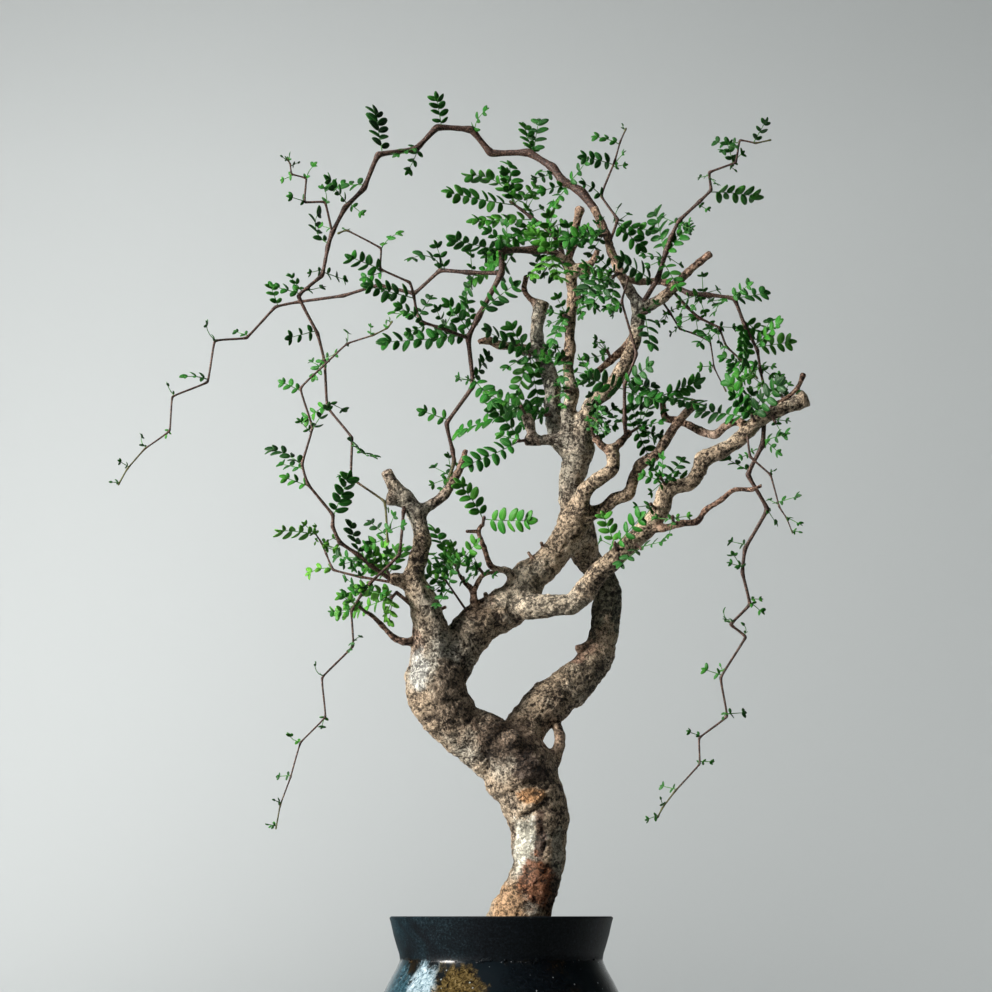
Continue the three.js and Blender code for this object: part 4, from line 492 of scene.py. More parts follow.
def apply_modifiers(piece):
    clear_selection()
    piece.select_set(True)
    bpy.context.view_layer.objects.active = piece
    for modifier in list(piece.modifiers):
        bpy.ops.object.modifier_apply(modifier=modifier.name)


def take_part(piece, nodes):
    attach(piece, "root")
    if nodes:
        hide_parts(*nodes)


def new_piece(name, mesh):
    piece = bpy.data.objects.new(name, mesh)
    bpy.context.scene.collection.objects.link(piece)
    return piece


def draws(start):
    """A seeded draw between 0 and 1, the same as in the solids."""
    state = (start * 7919 + 4211) % 4294967296
    skipped = 0
    while True:
        state = (state * 1664525 + 1013904223) % 4294967296
        skipped += 1
        if skipped > 2:
            yield state / 4294967296


def to_point(row):
    return Vector((row[0], row[1], RIM_HEIGHT + row[2]))


def smooth_way(points, radii, step, pull):
    """Points a step apart on a soft curve through the given points; pull is 0 for straight."""
    way, girth = [], []
    last = len(points) - 1
    for i in range(last):
        a, b = points[i], points[i + 1]
        before = (b - points[max(i - 1, 0)]) * pull
        after = (points[min(i + 2, last)] - a) * pull
        count = max(1, math.ceil((b - a).length / step))
        for k in range(count):
            t = k / count
            ease = t * t * (3 - 2 * t)
            curve = a * (1 - ease) + b * ease
            curve += before * (t * (1 - t) ** 2) - after * (t * t * (1 - t))
            way.append(curve)
            girth.append(radii[i] + (radii[i + 1] - radii[i]) * ease)
    way.append(points[last].copy())
    girth.append(radii[last])
    return way, girth


def tube(way, girth, sides, tip=0.7):
    """Corners and faces of a tube along a way, flat at its foot and domed at its tip."""
    steps = [(b - a).normalized() for a, b in zip(way, way[1:])]
    across = Vector((0, 1, 0)) if abs(steps[0].y) < 0.8 else Vector((1, 0, 0))
    corners, faces = [], []
    rings = len(way)

    def ring(centre, along, radius):
        nonlocal across
        across = (across - along * across.dot(along)).normalized()
        beside = along.cross(across)
        for k in range(sides):
            turn = 2 * math.pi * k / sides
            corners.append(centre + (across * math.cos(turn) + beside * math.sin(turn)) * radius)

    for i, (point, radius) in enumerate(zip(way, girth)):
        along = (steps[max(i - 1, 0)] + steps[min(i, len(steps) - 1)]).normalized()
        ring(point, along, radius)
    end, radius = steps[-1], girth[-1]
    ring(way[-1] + end * radius * tip * 0.6, end, radius * 0.78)
    ring(way[-1] + end * radius * tip * 0.95, end, radius * 0.4)
    for i in range(rings + 1):
        for k in range(sides):
            a, b = i * sides + k, i * sides + (k + 1) % sides
            faces.append((a, b, b + sides, a + sides))
    corners.append(way[-1] + end * radius * tip)
    corners.append(way[0] - steps[0] * girth[0] * 0.2)
    peak, foot = len(corners) - 2, len(corners) - 1
    outer = (rings + 1) * sides
    for k in range(sides):
        faces.append((outer + k, outer + (k + 1) % sides, peak))
        faces.append(((k + 1) % sides, k, foot))
    return corners, faces


def mesh_of(name, corners, faces):
    mesh = bpy.data.meshes.new(name)
    mesh.from_pydata([corner * MM for corner in corners], [], faces)
    return mesh


# Wood
class Limb:
    def __init__(self, name, rows):
        points = [to_point(row) for row in rows]
        radii = [row[3] for row in rows]
        self.name = name
        self.knots = points
        self.way, self.girth = smooth_way(points, radii, LIMB_STEP, 0.5)
        self.thickest = max(radii)
        self.along = [0.0]
        for a, b in zip(self.way, self.way[1:]):
            self.along.append(self.along[-1] + (b - a).length)


def nearest(point, others):
    return min((point - other).length for other in others)


def knobbly(limb):
    """A limb's radii with slow swellings, as knuckles and old leaf scars leave them."""
    seed = len(limb.name) * 3.7
    girth = []
    for point, radius, along in zip(limb.way, limb.girth, limb.along):
        swell = 0.07 * noise.noise(Vector((seed, along / (2.2 * limb.thickest), 0.5)))
        knuckle = 0.06 * noise.noise(Vector((seed, 7.1, along / 7.0)))
        near = nearest(point, limb.knots) / (0.7 * radius + 0.6)
        knot = 0.16 * min(4 / radius, 1) * math.exp(-near ** 2)
        girth.append(radius * (0.98 + swell + knuckle + knot))
    return girth


def bark_height(spot, outward, along, radius):
    """How far the bark stands out at a spot, in millimetres."""
    wide = noise.noise(spot * 0.055) * 0.035 * radius
    lumps = noise.noise(spot * 0.15 + Vector((5, 0, 0))) * min(0.07 * radius, 1.2)
    ringed = Vector((along * 0.42, outward.x * 1.1, outward.z * 1.1 + outward.y))
    wrinkles = noise.noise(ringed) * min(0.06 * radius, 0.6)
    pits = -max(0.0, noise.noise(spot * 0.30) - 0.22) * min(0.22 * radius, 2.2)
    fine = noise.noise(spot * 0.62) * min(0.06 * radius, 0.42)
    return wide + lumps + wrinkles + pits + fine


def crease(spot):
    """The slanted fold on the front where the trunk leans over, and the crack low on it."""
    above = spot.z - RIM_HEIGHT
    wobble = 2.5 * noise.noise(spot * 0.06)
    rise = above - 59 - 0.67 * spot.x + wobble
    fold = -1.8 * math.exp(-(rise / 1.5) ** 2) + 1.2 * math.exp(-((rise - 5) / 2.6) ** 2)
    across = math.exp(-((spot.x - 19) / 12) ** 4)
    crack = -1.6 * math.exp(-((spot.x - 17.5 - wobble * 0.4) / 0.9) ** 2)
    low = math.exp(-((above - 26) / 7) ** 2)
    on_front = 1 / (1 + math.exp((spot.y + 8) / 2))
    return (fold * across + crack * low) * on_front


class BONSAI_OT_wood(bpy.types.Operator):
    """Fuses the trunk and limbs and gives them bark"""
    bl_idname = "bonsai.wood"
    bl_label = "Wood"

    def execute(self, context):
        look = context.scene.bonsai_bark
        limbs = [Limb(name, rows) for name, rows in LIMBS.items()]
        thick = [limb for limb in limbs if limb.thickest > THIN_LIMB]
        thin = [limb for limb in limbs if limb.thickest <= THIN_LIMB]
        corners, faces = [], []
        for limb in thick:
            sides = 28 if limb.thickest > 12 else 18 if limb.thickest > 6 else 12
            some, more = tube(limb.way, knobbly(limb), sides, 0.25)
            faces += [tuple(i + len(corners) for i in face) for face in more]
            corners += some
        wood = new_piece("bark_wood", mesh_of("bark_wood", corners, faces))
        remesh = wood.modifiers.new("fuse", "REMESH")
        remesh.mode = "VOXEL"
        remesh.voxel_size = look.voxel
        settle = wood.modifiers.new("settle", "SMOOTH")
        settle.factor = 0.5
        settle.iterations = 3
        apply_modifiers(wood)
        self.carve(wood, thick, look.relief)
        twigs = []
        for limb in thin:
            some, more = tube(limb.way, knobbly(limb), 10)
            twig = new_piece(limb.name, mesh_of(limb.name, some, more))
            for name, value in (("girth", limb.thickest), ("hollow", YOUNG_HOLLOW_SHADE)):
                layer = twig.data.attributes.new(name, "FLOAT", "POINT")
                layer.data.foreach_set("value", [value] * len(some))
            twigs.append(twig)
        clear_selection()
        for twig in twigs:
            twig.select_set(True)
        wood.select_set(True)
        context.view_layer.objects.active = wood
        bpy.ops.object.join()
        wood.data.shade_smooth()
        wood.data.materials.clear()
        wood.data.materials.append(bark_material(look))
        take_part(wood, ["wood"])
        return {"FINISHED"}

    def carve(self, wood, limbs, relief):
        spots = [(point, limb, i) for limb in limbs for i, point in enumerate(limb.way)]
        tree = KDTree(len(spots))
        for number, (point, _, _) in enumerate(spots):
            tree.insert(point, number)
        tree.balance()
        form = bmesh.new()
        form.from_mesh(wood.data)
        form.normal_update()
        layer = form.verts.layers.float.new("girth")
        hollow = form.verts.layers.float.new("hollow")
        for vertex in form.verts:
            spot = vertex.co / MM
            near = tree.find_n(spot, 3)
            best = min(near, key=lambda found: found[2] / spots[found[1]][1].girth[spots[found[1]][2]])
            _, limb, i = spots[best[1]]
            radius = limb.girth[i]
            vertex[layer] = radius
            height = bark_height(spot, vertex.normal, limb.along[i], radius) + crease(spot)
            # Painted shade: the bark's colour is darkened in its hollows and creases and lightened a little
            # on its ridges
            vertex[hollow] = min(max(0.5 - height / min(0.14 * radius, 2.4), 0), 1)
            vertex.co += vertex.normal * height * relief * MM
        form.to_mesh(wood.data)
        form.free()


# Leafy shoots
class Shoot:
    def __init__(self, number, name, base, tip, route, leaves):
        self.number, self.name, self.base, self.tip, self.leaves = number, name, base, tip, leaves
        self.points = [to_point(row) for row in route]
        last = len(self.points) - 1
        self.radii = [tip + (base - tip) * (1 - i / last) ** TWIG_TAPER for i in range(last + 1)]

    def leaf_root(self, index, place):
        count = sum(1 for row in self.leaves if row[0] == index)
        back = self.points[index - 1] - self.points[index]
        knuckle = KNUCKLE_SHARE * self.radii[index]
        width = min(BAND_WIDTH, (BAND_ROOM * back.length - knuckle) / count)
        return self.points[index] + back.normalized() * (knuckle + (place + 0.5) * width)

    def stood_off(self, index, angle):
        for other in (index - 1, index + 1):
            if other >= len(self.points):
                continue
            line = self.points[other] - self.points[index]
            way = math.atan2(line.z, line.x) / DEGREE
            off = (angle - way + 180) % 360 - 180
            if abs(off) < LEAST_OFF:
                angle = way + (-LEAST_OFF if off < 0 else LEAST_OFF)
        return angle


class Leaf:
    """A leaf's rib, bent in the plane seen from the front and leaning out of it, as in the solids."""

    def __init__(self, root, node_radius, angle, seen, bend, number, attempt):
        draw = draws(number)
        first_lean = (next(draw) * 2 - 1) * WIDEST_LEAN
        turned = 12 + 45 * next(draw) + 0.35 * abs(bend)
        flip = -1 if next(draw) < 0.2 else 1
        span = 2 * WIDEST_LEAN
        lean = (first_lean + WIDEST_LEAN + attempt * LEAN_STEP) % span - WIDEST_LEAN
        upward = 1 if math.cos(angle * DEGREE) >= 0 else -1
        half = bend * DEGREE / 2
        arc = 1 if half == 0 else half / math.sin(half)
        self.root, self.lean = root, lean * DEGREE
        self.angle, self.bend = angle * DEGREE, bend * DEGREE
        self.roll = min(turned, 84) * upward * flip * DEGREE
        self.length = seen * arc / math.cos(self.lean)
        self.leaflet = min(max(1 + 0.27 * seen, 3), 9.5)
        self.petiole = max(PETIOLE_SHARE, (node_radius + 1.5) / self.length)
        self.seen = seen

    def rib(self, share):
        first = self.angle - self.bend / 2
        now = first + self.bend * share
        flat = self.length * math.cos(self.lean)
        if abs(self.bend) > 0.01:
            right = (math.sin(now) - math.sin(first)) / self.bend
            up = (math.cos(first) - math.cos(now)) / self.bend
        else:
            right, up = share * math.cos(first), share * math.sin(first)
        back = self.length * math.sin(self.lean) * share
        return Vector((right * flat, back, up * flat)) + self.root

    def blade(self, share):
        now = self.angle + self.bend * (share - 0.5)
        flat = math.cos(self.lean)
        along = Vector((math.cos(now) * flat, math.sin(self.lean), math.sin(now) * flat))
        upright = Vector((-math.sin(now), 0, math.cos(now)))
        face = along.cross(upright) * math.cos(self.roll) + upright * math.sin(self.roll)
        return along, face.normalized(), face.cross(along).normalized()


def grown_leaves(shoot):
    """The shoot's leaves, each with the lean that its solid has."""
    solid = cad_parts[shoot.name].data
    tree = KDTree(len(solid.vertices))
    for i, vertex in enumerate(solid.vertices):
        tree.insert(vertex.co / MM, i)
    tree.balance()
    leaves = []
    for i, row in enumerate(shoot.leaves):
        index, angle, seen, bend = (*row, 0)[:4]
        place = sum(1 for other in shoot.leaves[:i] if other[0] == index)
        root = shoot.leaf_root(index, place)
        off = shoot.stood_off(index, angle)
        number = LEAF_NUMBERS_PER_SHOOT * shoot.number + i
        tries = [Leaf(root, shoot.radii[index], off, seen, bend, number, k) for k in range(LEAN_TRIES)]
        leaves.append(min(tries, key=lambda leaf: round(tree.find(leaf.rib(1))[2], 1)))
    return leaves


def sister_leaves(shoot):
    """More leaves on the shoots that are densest, each beside one that the solid has."""
    draw = draws(4000 + shoot.number)
    sisters = []
    for i in range(SISTER_LEAVES.get(shoot.name, 0)):
        index, angle, seen = shoot.leaves[(i * 3 + 1) % len(shoot.leaves)][:3]
        turned = angle + (1 if i % 2 else -1) * (22 + 34 * next(draw))
        length = max(seen * (0.6 + 0.4 * next(draw)), SISTER_SHORTEST)
        number = LEAF_NUMBERS_PER_SHOOT * shoot.number + len(shoot.leaves) + i
        root = shoot.leaf_root(index, 0)
        sisters.append(Leaf(root, shoot.radii[index], turned, length, 0, number, i % LEAN_TRIES))
    return sisters


def leaflet_template(thickness):
    """One leaflet, 1 long along +X, folded at its midrib, with its outline in the UV map."""
    clear_selection()
    bpy.ops.mesh.primitive_grid_add(x_subdivisions=LEAFLET_STATIONS, y_subdivisions=2, size=1)
    leaflet = bpy.context.object
    bpy.ops.object.mode_set(mode="EDIT")
    bpy.ops.mesh.select_all(action="SELECT")
    bpy.ops.transform.translate(value=(0.5, 0, 0))
    bpy.ops.object.mode_set(mode="OBJECT")
    for vertex in leaflet.data.vertices:
        x, side = vertex.co.x, 2 * vertex.co.y
        width = LEAFLET_HALF_WIDTH * (math.sin(math.pi * (0.03 + 0.94 * x) ** 0.90)) ** 0.52
        vertex.co = (x, side * width, LEAFLET_FOLD * abs(side) * width - LEAFLET_DROOP * x * x)
    solidify = leaflet.modifiers.new("thickness", "SOLIDIFY")
    solidify.thickness = thickness
    solidify.offset = 0
    apply_modifiers(leaflet)
    mesh = leaflet.data
    corners = np.empty(3 * len(mesh.vertices))
    mesh.vertices.foreach_get("co", corners)
    faces = [tuple(face.vertices) for face in mesh.polygons]
    uvs = np.empty(2 * len(mesh.loops))
    mesh.uv_layers.active.data.foreach_get("uv", uvs)
    bpy.data.objects.remove(leaflet)
    return corners.reshape(-1, 3), faces, uvs.reshape(-1, 2)


class Leafage:
    """Gathers one shoot's twig and leaves into a single mesh."""

    def __init__(self):
        self.corners, self.faces, self.uvs, self.tints, self.slots = [], [], [], [], []

    def add(self, corners, faces, uvs, tint, slot):
        start = len(self.corners)
        self.corners += [tuple(corner) for corner in corners]
        self.faces += [tuple(i + start for i in face) for face in faces]
        self.uvs += uvs if uvs is not None else [(0.0, 0.5)] * sum(len(face) for face in faces)
        self.tints += tint if isinstance(tint, list) else [tint] * len(corners)
        self.slots += [slot] * len(faces)

    def mesh(self, name):
        mesh = bpy.data.meshes.new(name)
        mesh.from_pydata((np.array(self.corners) * MM).tolist(), [], self.faces)
        layer = mesh.uv_layers.new(name="leaflet")
        layer.data.foreach_set("uv", np.array(self.uvs).ravel())
        tint = mesh.attributes.new("tint", "FLOAT", "POINT")
        tint.data.foreach_set("value", self.tints)
        mesh.polygons.foreach_set("material_index", self.slots)
        mesh.shade_smooth()
        return mesh


def add_leaf(leafage, leaf, number, pale, template):
    """A leaf: its rib, its pairs of leaflets and the one at its end."""
    draw = draws(9000 + number)
    ways = [leaf.rib(k / RIB_STEPS) for k in range(RIB_STEPS + 1)]
    girth = [0.42 - 0.22 * k / RIB_STEPS for k in range(RIB_STEPS + 1)]
    some, more = tube(ways, girth, 5)
    leafage.add(some, more, None, 0.35 + 0.5 * pale, 1)
    pairs = max(2 if leaf.seen > 9 else 1, min(7, round(0.4 + leaf.seen / 7.2)))
    first = max(0.14, min(leaf.petiole, 0.24))
    last = 1 - 0.66 * leaf.leaflet / leaf.length
    # The shoot's paleness is partly painted light of leaves lit from behind
    leaf_tint = 0.16 + 0.30 * next(draw) + pale
    for k in range(pairs):
        share = first + (last - first) * k / max(pairs - 1, 1)
        size = LEAFLET_SIZE * leaf.leaflet * (0.80 + 0.20 * math.sin(math.pi * (k + 1) / (pairs + 1)))
        for way in (1, -1):
            forward = (66 + 16 * (next(draw) - 0.5) - 10 * k / pairs) * DEGREE
            place_leaflet(leafage, leaf, share + 0.02 * way, way * forward, size, draw, leaf_tint, template)
    place_leaflet(leafage, leaf, 1 - 0.76 * leaf.leaflet / leaf.length, 0, LEAFLET_SIZE * leaf.leaflet,
                  draw, leaf_tint, template)


def place_leaflet(leafage, leaf, share, turn, size, draw, tint, template):
    corners, faces, uvs = template
    along, face, side = leaf.blade(share)
    out = along * math.cos(turn) + side * math.sin(turn)
    lift = 0.10 + 0.50 * (next(draw) - 0.5)
    out = (out + face * lift * abs(math.sin(turn))).normalized()
    flat = face.cross(out).normalized()
    rolled = (next(draw) - 0.5) * 1.1
    beside = flat * math.cos(rolled) + face * math.sin(rolled)
    above = out.cross(beside).normalized()
    width = 0.86 + 0.3 * next(draw)
    length = size * (0.88 + 0.24 * next(draw))
    turned = np.array([out, beside * width, above]).T * length
    spot = np.array(leaf.rib(share) + face * 0.15)
    leafage.add(corners @ turned.T + spot, faces, [tuple(uv) for uv in uvs],
                tint + 0.16 * (next(draw) - 0.5), 1)


def twig_of(shoot):
    """The twig's way and girth: nearly straight between its knuckles, and swollen at them."""
    way, girth = smooth_way(shoot.points, shoot.radii, 1.6 if shoot.base < 2.6 else 2.2, 0.14)
    rough = []
    for point, radius in zip(way, girth):
        near = nearest(point, shoot.points[1:])
        swell = 0.34 * math.exp(-(near / (1.9 * radius + 0.4)) ** 2)
        rough.append(radius * (0.90 + swell + 0.10 * noise.noise(point * 0.45)))
    return way, rough


def all_shoots():
    """The leafy shoots, and after them the sprays, which have the same two radii nearly everywhere."""
    rows = list(SHOOTS)
    for name, (foot, knob, *leaves) in SPRAYS.items():
        less = THIN_SPRAY_LESS if name in THIN_SPRAYS else 0
        radii = (round(SPRAY_FOOT - less, 1), round(SPRAY_KNOB - less, 1))
        rows.append((name, *radii, [foot, knob], [(1, *leaf) for leaf in leaves]))
    return [Shoot(number, *row) for number, row in enumerate(rows)]


class BONSAI_OT_shoots(bpy.types.Operator):
    """Grows each leafy shoot: its zigzag twig and its compound leaves"""
    bl_idname = "bonsai.shoots"
    bl_label = "Leafy shoots"

    def execute(self, context):
        look = context.scene.bonsai_leaf
        template = leaflet_template(look.thickness)
        twig_bark, green = twig_material(), leaf_material(look)
        for shoot in all_shoots():
            leafage = Leafage()
            way, girth = twig_of(shoot)
            corners, faces = tube(way, girth, 8 if shoot.base > 1.5 else 6, 1.4)
            rings = len(way) + 2
            sides = (len(corners) - 2) // rings
            youth = [max(0.0, (i // sides) / rings) for i in range(len(corners))]
            if shoot.name.startswith("spray"):
                youth = [0.35 + 0.4 * share for share in youth]
            leafage.add(corners, faces, None, youth, 0)
            pale = PALE_SHOOTS.get(shoot.name, 0.0)
            for i, leaf in enumerate(grown_leaves(shoot) + sister_leaves(shoot)):
                add_leaf(leafage, leaf, LEAF_NUMBERS_PER_SHOOT * shoot.number + i, pale, template)
            piece = new_piece("leafy_" + shoot.name, leafage.mesh(shoot.name))
            piece.data.materials.append(twig_bark)
            piece.data.materials.append(green)
            take_part(piece, [shoot.name])
        return {"FINISHED"}


# Pot
class BONSAI_OT_pot(bpy.types.Operator):
    """Turns the glazed pot, ring by ring, with its drain holes and beads of glaze"""
    bl_idname = "bonsai.pot"
    bl_label = "Pot"

    def execute(self, context):
        size = context.scene.bonsai_pot
        top = RIM_HEIGHT * MM
        neck = size.neck_radius
        outside = [
            (size.rim_radius - 0.0014, 0.0), (size.rim_radius - 0.0005, 0.0004), (size.rim_radius, 0.0014),
            (size.rim_radius - 0.0008, 0.0040), (neck + 0.0045, 0.0130), (neck + 0.0022, 0.0210),
            (neck + 0.0006, 0.0260), (neck, size.collar_height), (neck + 0.0008, 0.0325),
            (0.0735, 0.0370), (0.0780, 0.0450), (0.0830, 0.0550), (0.0880, 0.0655), (0.0930, 0.0775),
            (0.0968, 0.0900), (size.belly_radius - 0.0006, 0.1020), (size.belly_radius, 0.1130),
            (0.0984, 0.1240), (0.0955, 0.1340), (0.0905, 0.1440), (0.0835, 0.1520), (0.0750, 0.1580),
            (0.0690, 0.1620), (size.foot_radius + 0.0012, 0.1660), (size.foot_radius, 0.1680),
            (0.0560, 0.1680), (0.0300, 0.1680),
        ]
        inside = [
            (size.rim_radius - size.wall, 0.0012), (size.rim_radius - size.wall - 0.0006, 0.0040),
            (neck - size.wall, size.collar_height), (0.0760, 0.0540), (0.0900, 0.0860),
            (0.0930, 0.1100), (0.0840, 0.1410), (0.0660, 0.1580), (0.0300, 0.1580),
        ]
        clear_selection()
        bpy.ops.mesh.primitive_circle_add(vertices=POT_SIDES, radius=inside[-1][0], location=(0, 0, 0),
                                          fill_type="NGON")
        pot = context.object
        pot.name = "glazed_pot"
        bpy.ops.object.mode_set(mode="EDIT")
        bpy.ops.mesh.select_all(action="SELECT")
        bpy.ops.transform.translate(value=(0, 0, top - inside[-1][1]))
        rings = [*inside[::-1], *outside]
        for (radius, below), (next_radius, next_below) in zip(rings, rings[1:]):
            bpy.ops.mesh.extrude_region_move()
            bpy.ops.transform.resize(value=(next_radius / radius, next_radius / radius, 1))
            bpy.ops.transform.translate(value=(0, 0, below - next_below))
        bpy.ops.mesh.select_all(action="SELECT")
        bpy.ops.mesh.normals_make_consistent(inside=False)
        bpy.ops.object.mode_set(mode="OBJECT")
        self.drill(pot)
        beads = self.glaze_beads(neck, top - size.collar_height)
        clear_selection()
        for bead in beads:
            bead.select_set(True)
        pot.select_set(True)
        context.view_layer.objects.active = pot
        bpy.ops.object.join()
        pot.data.materials.clear()
        pot.data.materials.append(glaze_material(size))
        bpy.ops.object.shade_smooth_by_angle(angle=40 * DEGREE)
        bpy.ops.object.transform_apply(location=True, rotation=True, scale=True)
        take_part(pot, ["pot"])
        return {"FINISHED"}

    def drill(self, pot):
        for k in range(DRAIN_HOLES):
            turn = 2 * math.pi * k / DRAIN_HOLES + math.pi / 2
            clear_selection()
            bpy.ops.mesh.primitive_cylinder_add(
                vertices=32, radius=DRAIN_RADIUS, depth=0.04,
                location=(DRAIN_DISTANCE * math.cos(turn), DRAIN_DISTANCE * math.sin(turn), 0))
            drill = bpy.context.object
            cut = pot.modifiers.new("drain hole", "BOOLEAN")
            cut.operation = "DIFFERENCE"
            cut.object = drill
            cut.solver = "EXACT"
            apply_modifiers(pot)
            bpy.data.objects.remove(drill)

    def glaze_beads(self, neck, height):
        """Runs of thick glaze that gathered in the neck, as flattened drops."""
        beads = []
        draw = draws(77)
        for k in range(BEADS):
            turn = (next(draw) - 0.5) * 0.72 if k < FRONT_BEADS else 2 * math.pi * next(draw)
            wide = 0.0006 + 0.0012 * next(draw)
            clear_selection()
            bpy.ops.mesh.primitive_uv_sphere_add(segments=12, ring_count=8, radius=1)
            bead = bpy.context.object
            out = neck + 0.0003
            drop = 0.0034 * (next(draw) - 0.85)
            place = Matrix.Translation((out * math.sin(turn), -out * math.cos(turn), height + drop))
            spin = Matrix.Rotation(turn, 4, "Z")
            stretch = Matrix.Diagonal((wide, 0.0008, 0.0005 + 0.0008 * next(draw), 1))
            bead.data.transform(place @ spin @ stretch)
            beads.append(bead)
        return beads


class BONSAI_OT_soil(bpy.types.Operator):
    """Gives the soil its colour and lays loose grit on it"""
    bl_idname = "bonsai.soil"
    bl_label = "Soil and grit"

    def execute(self, context):
        soil_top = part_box("soil")[1].z / MM
        for name, material in (("soil", soil_material()), ("drain_screen", screen_material())):
            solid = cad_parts[name]
            solid.data.materials.clear()
            solid.data.materials.append(material)
        pebbles = [self.pebble(k) for k in range(STONE_SHAPES)]
        draw = draws(31)
        corners, faces = [], []
        placed = 0
        while placed < STONES:
            turn, out = 2 * math.pi * next(draw), STONE_REACH * math.sqrt(next(draw))
            x, y = out * math.cos(turn), out * math.sin(turn)
            if math.hypot(x - TRUNK_RIGHT, y) < TRUNK_CLEARANCE:
                continue
            size = 1.1 + 2.0 * next(draw) ** 2
            some, more = pebbles[placed % STONE_SHAPES]
            height = soil_top - SOIL_SLOPE * out + 0.25 * size
            spin = Matrix.Rotation(6.28 * next(draw), 3, "Z") @ Matrix.Rotation(6.28 * next(draw), 3, "X")
            start = len(corners)
            corners += [spin @ corner * size + Vector((x, y, height)) for corner in some]
            faces += [tuple(i + start for i in face) for face in more]
            placed += 1
        grit = new_piece("loose_grit", mesh_of("loose_grit", corners, faces))
        grit.data.materials.append(grit_material())
        take_part(grit, [])
        return {"FINISHED"}

    def pebble(self, number):
        clear_selection()
        bpy.ops.mesh.primitive_ico_sphere_add(subdivisions=2, radius=1)
        stone = bpy.context.object
        for vertex in stone.data.vertices:
            rough = noise.noise(vertex.co * 1.3 + Vector((number * 9.1, 0, 0)))
            vertex.co *= 1 + 0.35 * rough
            vertex.co.z *= 0.72
        corners = [vertex.co.copy() for vertex in stone.data.vertices]
        faces = [tuple(face.vertices) for face in stone.data.polygons]
        bpy.data.objects.remove(stone)
        return corners, faces


# Materials
class Look:
    """A material's node tree with short ways to add and join nodes."""

    def __init__(self, name, inputs=None, outputs=None):
        if inputs:
            self.tree = bpy.data.node_groups.new(name, "ShaderNodeTree")
            for way, sockets in (("INPUT", inputs), ("OUTPUT", outputs)):
                for label, kind in sockets.items():
                    self.tree.interface.new_socket(label, in_out=way, socket_type="NodeSocket" + kind)
            self.given = self.add("NodeGroupInput").outputs
            self.result = self.add("NodeGroupOutput").inputs
        else:
            self.material = bpy.data.materials.new(name)
            self.material.use_nodes = True
            self.tree = self.material.node_tree
            self.tree.nodes.clear()
            self.shader = self.add("ShaderNodeBsdfPrincipled")
            output = self.add("ShaderNodeOutputMaterial")
            self.tree.links.new(self.shader.outputs["BSDF"], output.inputs["Surface"])

    def add(self, kind, **values):
        node = self.tree.nodes.new(kind)
        for name, value in values.items():
            setattr(node, name, value)
        return node

    def join(self, source, target):
        self.tree.links.new(source, target)

    def feed(self, target, value):
        if isinstance(value, bpy.types.NodeSocket):
            self.join(value, target)
        else:
            target.default_value = value

    def noise(self, where, scale, detail=4.0, roughness=0.6, distortion=0.0):
        node = self.add("ShaderNodeTexNoise")
        self.join(where, node.inputs["Vector"])
        node.inputs["Scale"].default_value = scale
        node.inputs["Detail"].default_value = detail
        node.inputs["Roughness"].default_value = roughness
        node.inputs["Distortion"].default_value = distortion
        return node.outputs["Fac"]

    def cells(self, where, scale):
        node = self.add("ShaderNodeTexVoronoi")
        self.join(where, node.inputs["Vector"])
        node.inputs["Scale"].default_value = scale
        return node.outputs["Distance"]

    def ramp(self, value, stops):
        node = self.add("ShaderNodeValToRGB")
        ramp = node.color_ramp
        while len(ramp.elements) < len(stops):
            ramp.elements.new(0.5)
        for element, (place, colour) in zip(ramp.elements, stops):
            element.position = place
            element.color = (*colour, 1) if isinstance(colour, tuple) else (colour, colour, colour, 1)
        self.join(value, node.inputs["Fac"])
        return node.outputs["Color"]

    def range(self, value, low, high, to_low=0.0, to_high=1.0):
        node = self.add("ShaderNodeMapRange")
        self.join(value, node.inputs["Value"])
        for name, number in (("From Min", low), ("From Max", high), ("To Min", to_low), ("To Max", to_high)):
            node.inputs[name].default_value = number
        return node.outputs["Result"]

    def math(self, operation, first, second=0.0):
        node = self.add("ShaderNodeMath", operation=operation)
        self.feed(node.inputs[0], first)
        self.feed(node.inputs[1], second)
        return node.outputs[0]

    def mix(self, share, first, second, blend="MIX"):
        node = self.add("ShaderNodeMix", data_type="RGBA", blend_type=blend)
        self.feed(node.inputs[0], share)
        for socket, value in ((node.inputs[6], first), (node.inputs[7], second)):
            self.feed(socket, (*value, 1) if isinstance(value, tuple) else value)
        return node.outputs[2]

    def bump(self, height, strength, distance):
        node = self.add("ShaderNodeBump")
        self.join(height, node.inputs["Height"])
        node.inputs["Strength"].default_value = strength
        node.inputs["Distance"].default_value = distance
        return node.outputs["Normal"]

    def group(self, group, **values):
        node = self.add("ShaderNodeGroup", node_tree=group)
        for name, value in values.items():
            self.feed(node.inputs[name.replace("_", " ")], value)
        return node

    def place(self):
        return self.add("ShaderNodeTexCoord").outputs["Object"]

    def attribute(self, name):
        return self.add("ShaderNodeAttribute", attribute_name=name).outputs["Fac"]

    def finish(self, colour, roughness, normal=None, **constants):
        self.join(colour, self.shader.inputs["Base Color"])
        self.feed(self.shader.inputs["Roughness"], roughness)
        if normal:
            self.join(normal, self.shader.inputs["Normal"])
        for name, value in constants.items():
            self.shader.inputs[name.replace("_", " ")].default_value = value
        return self.material


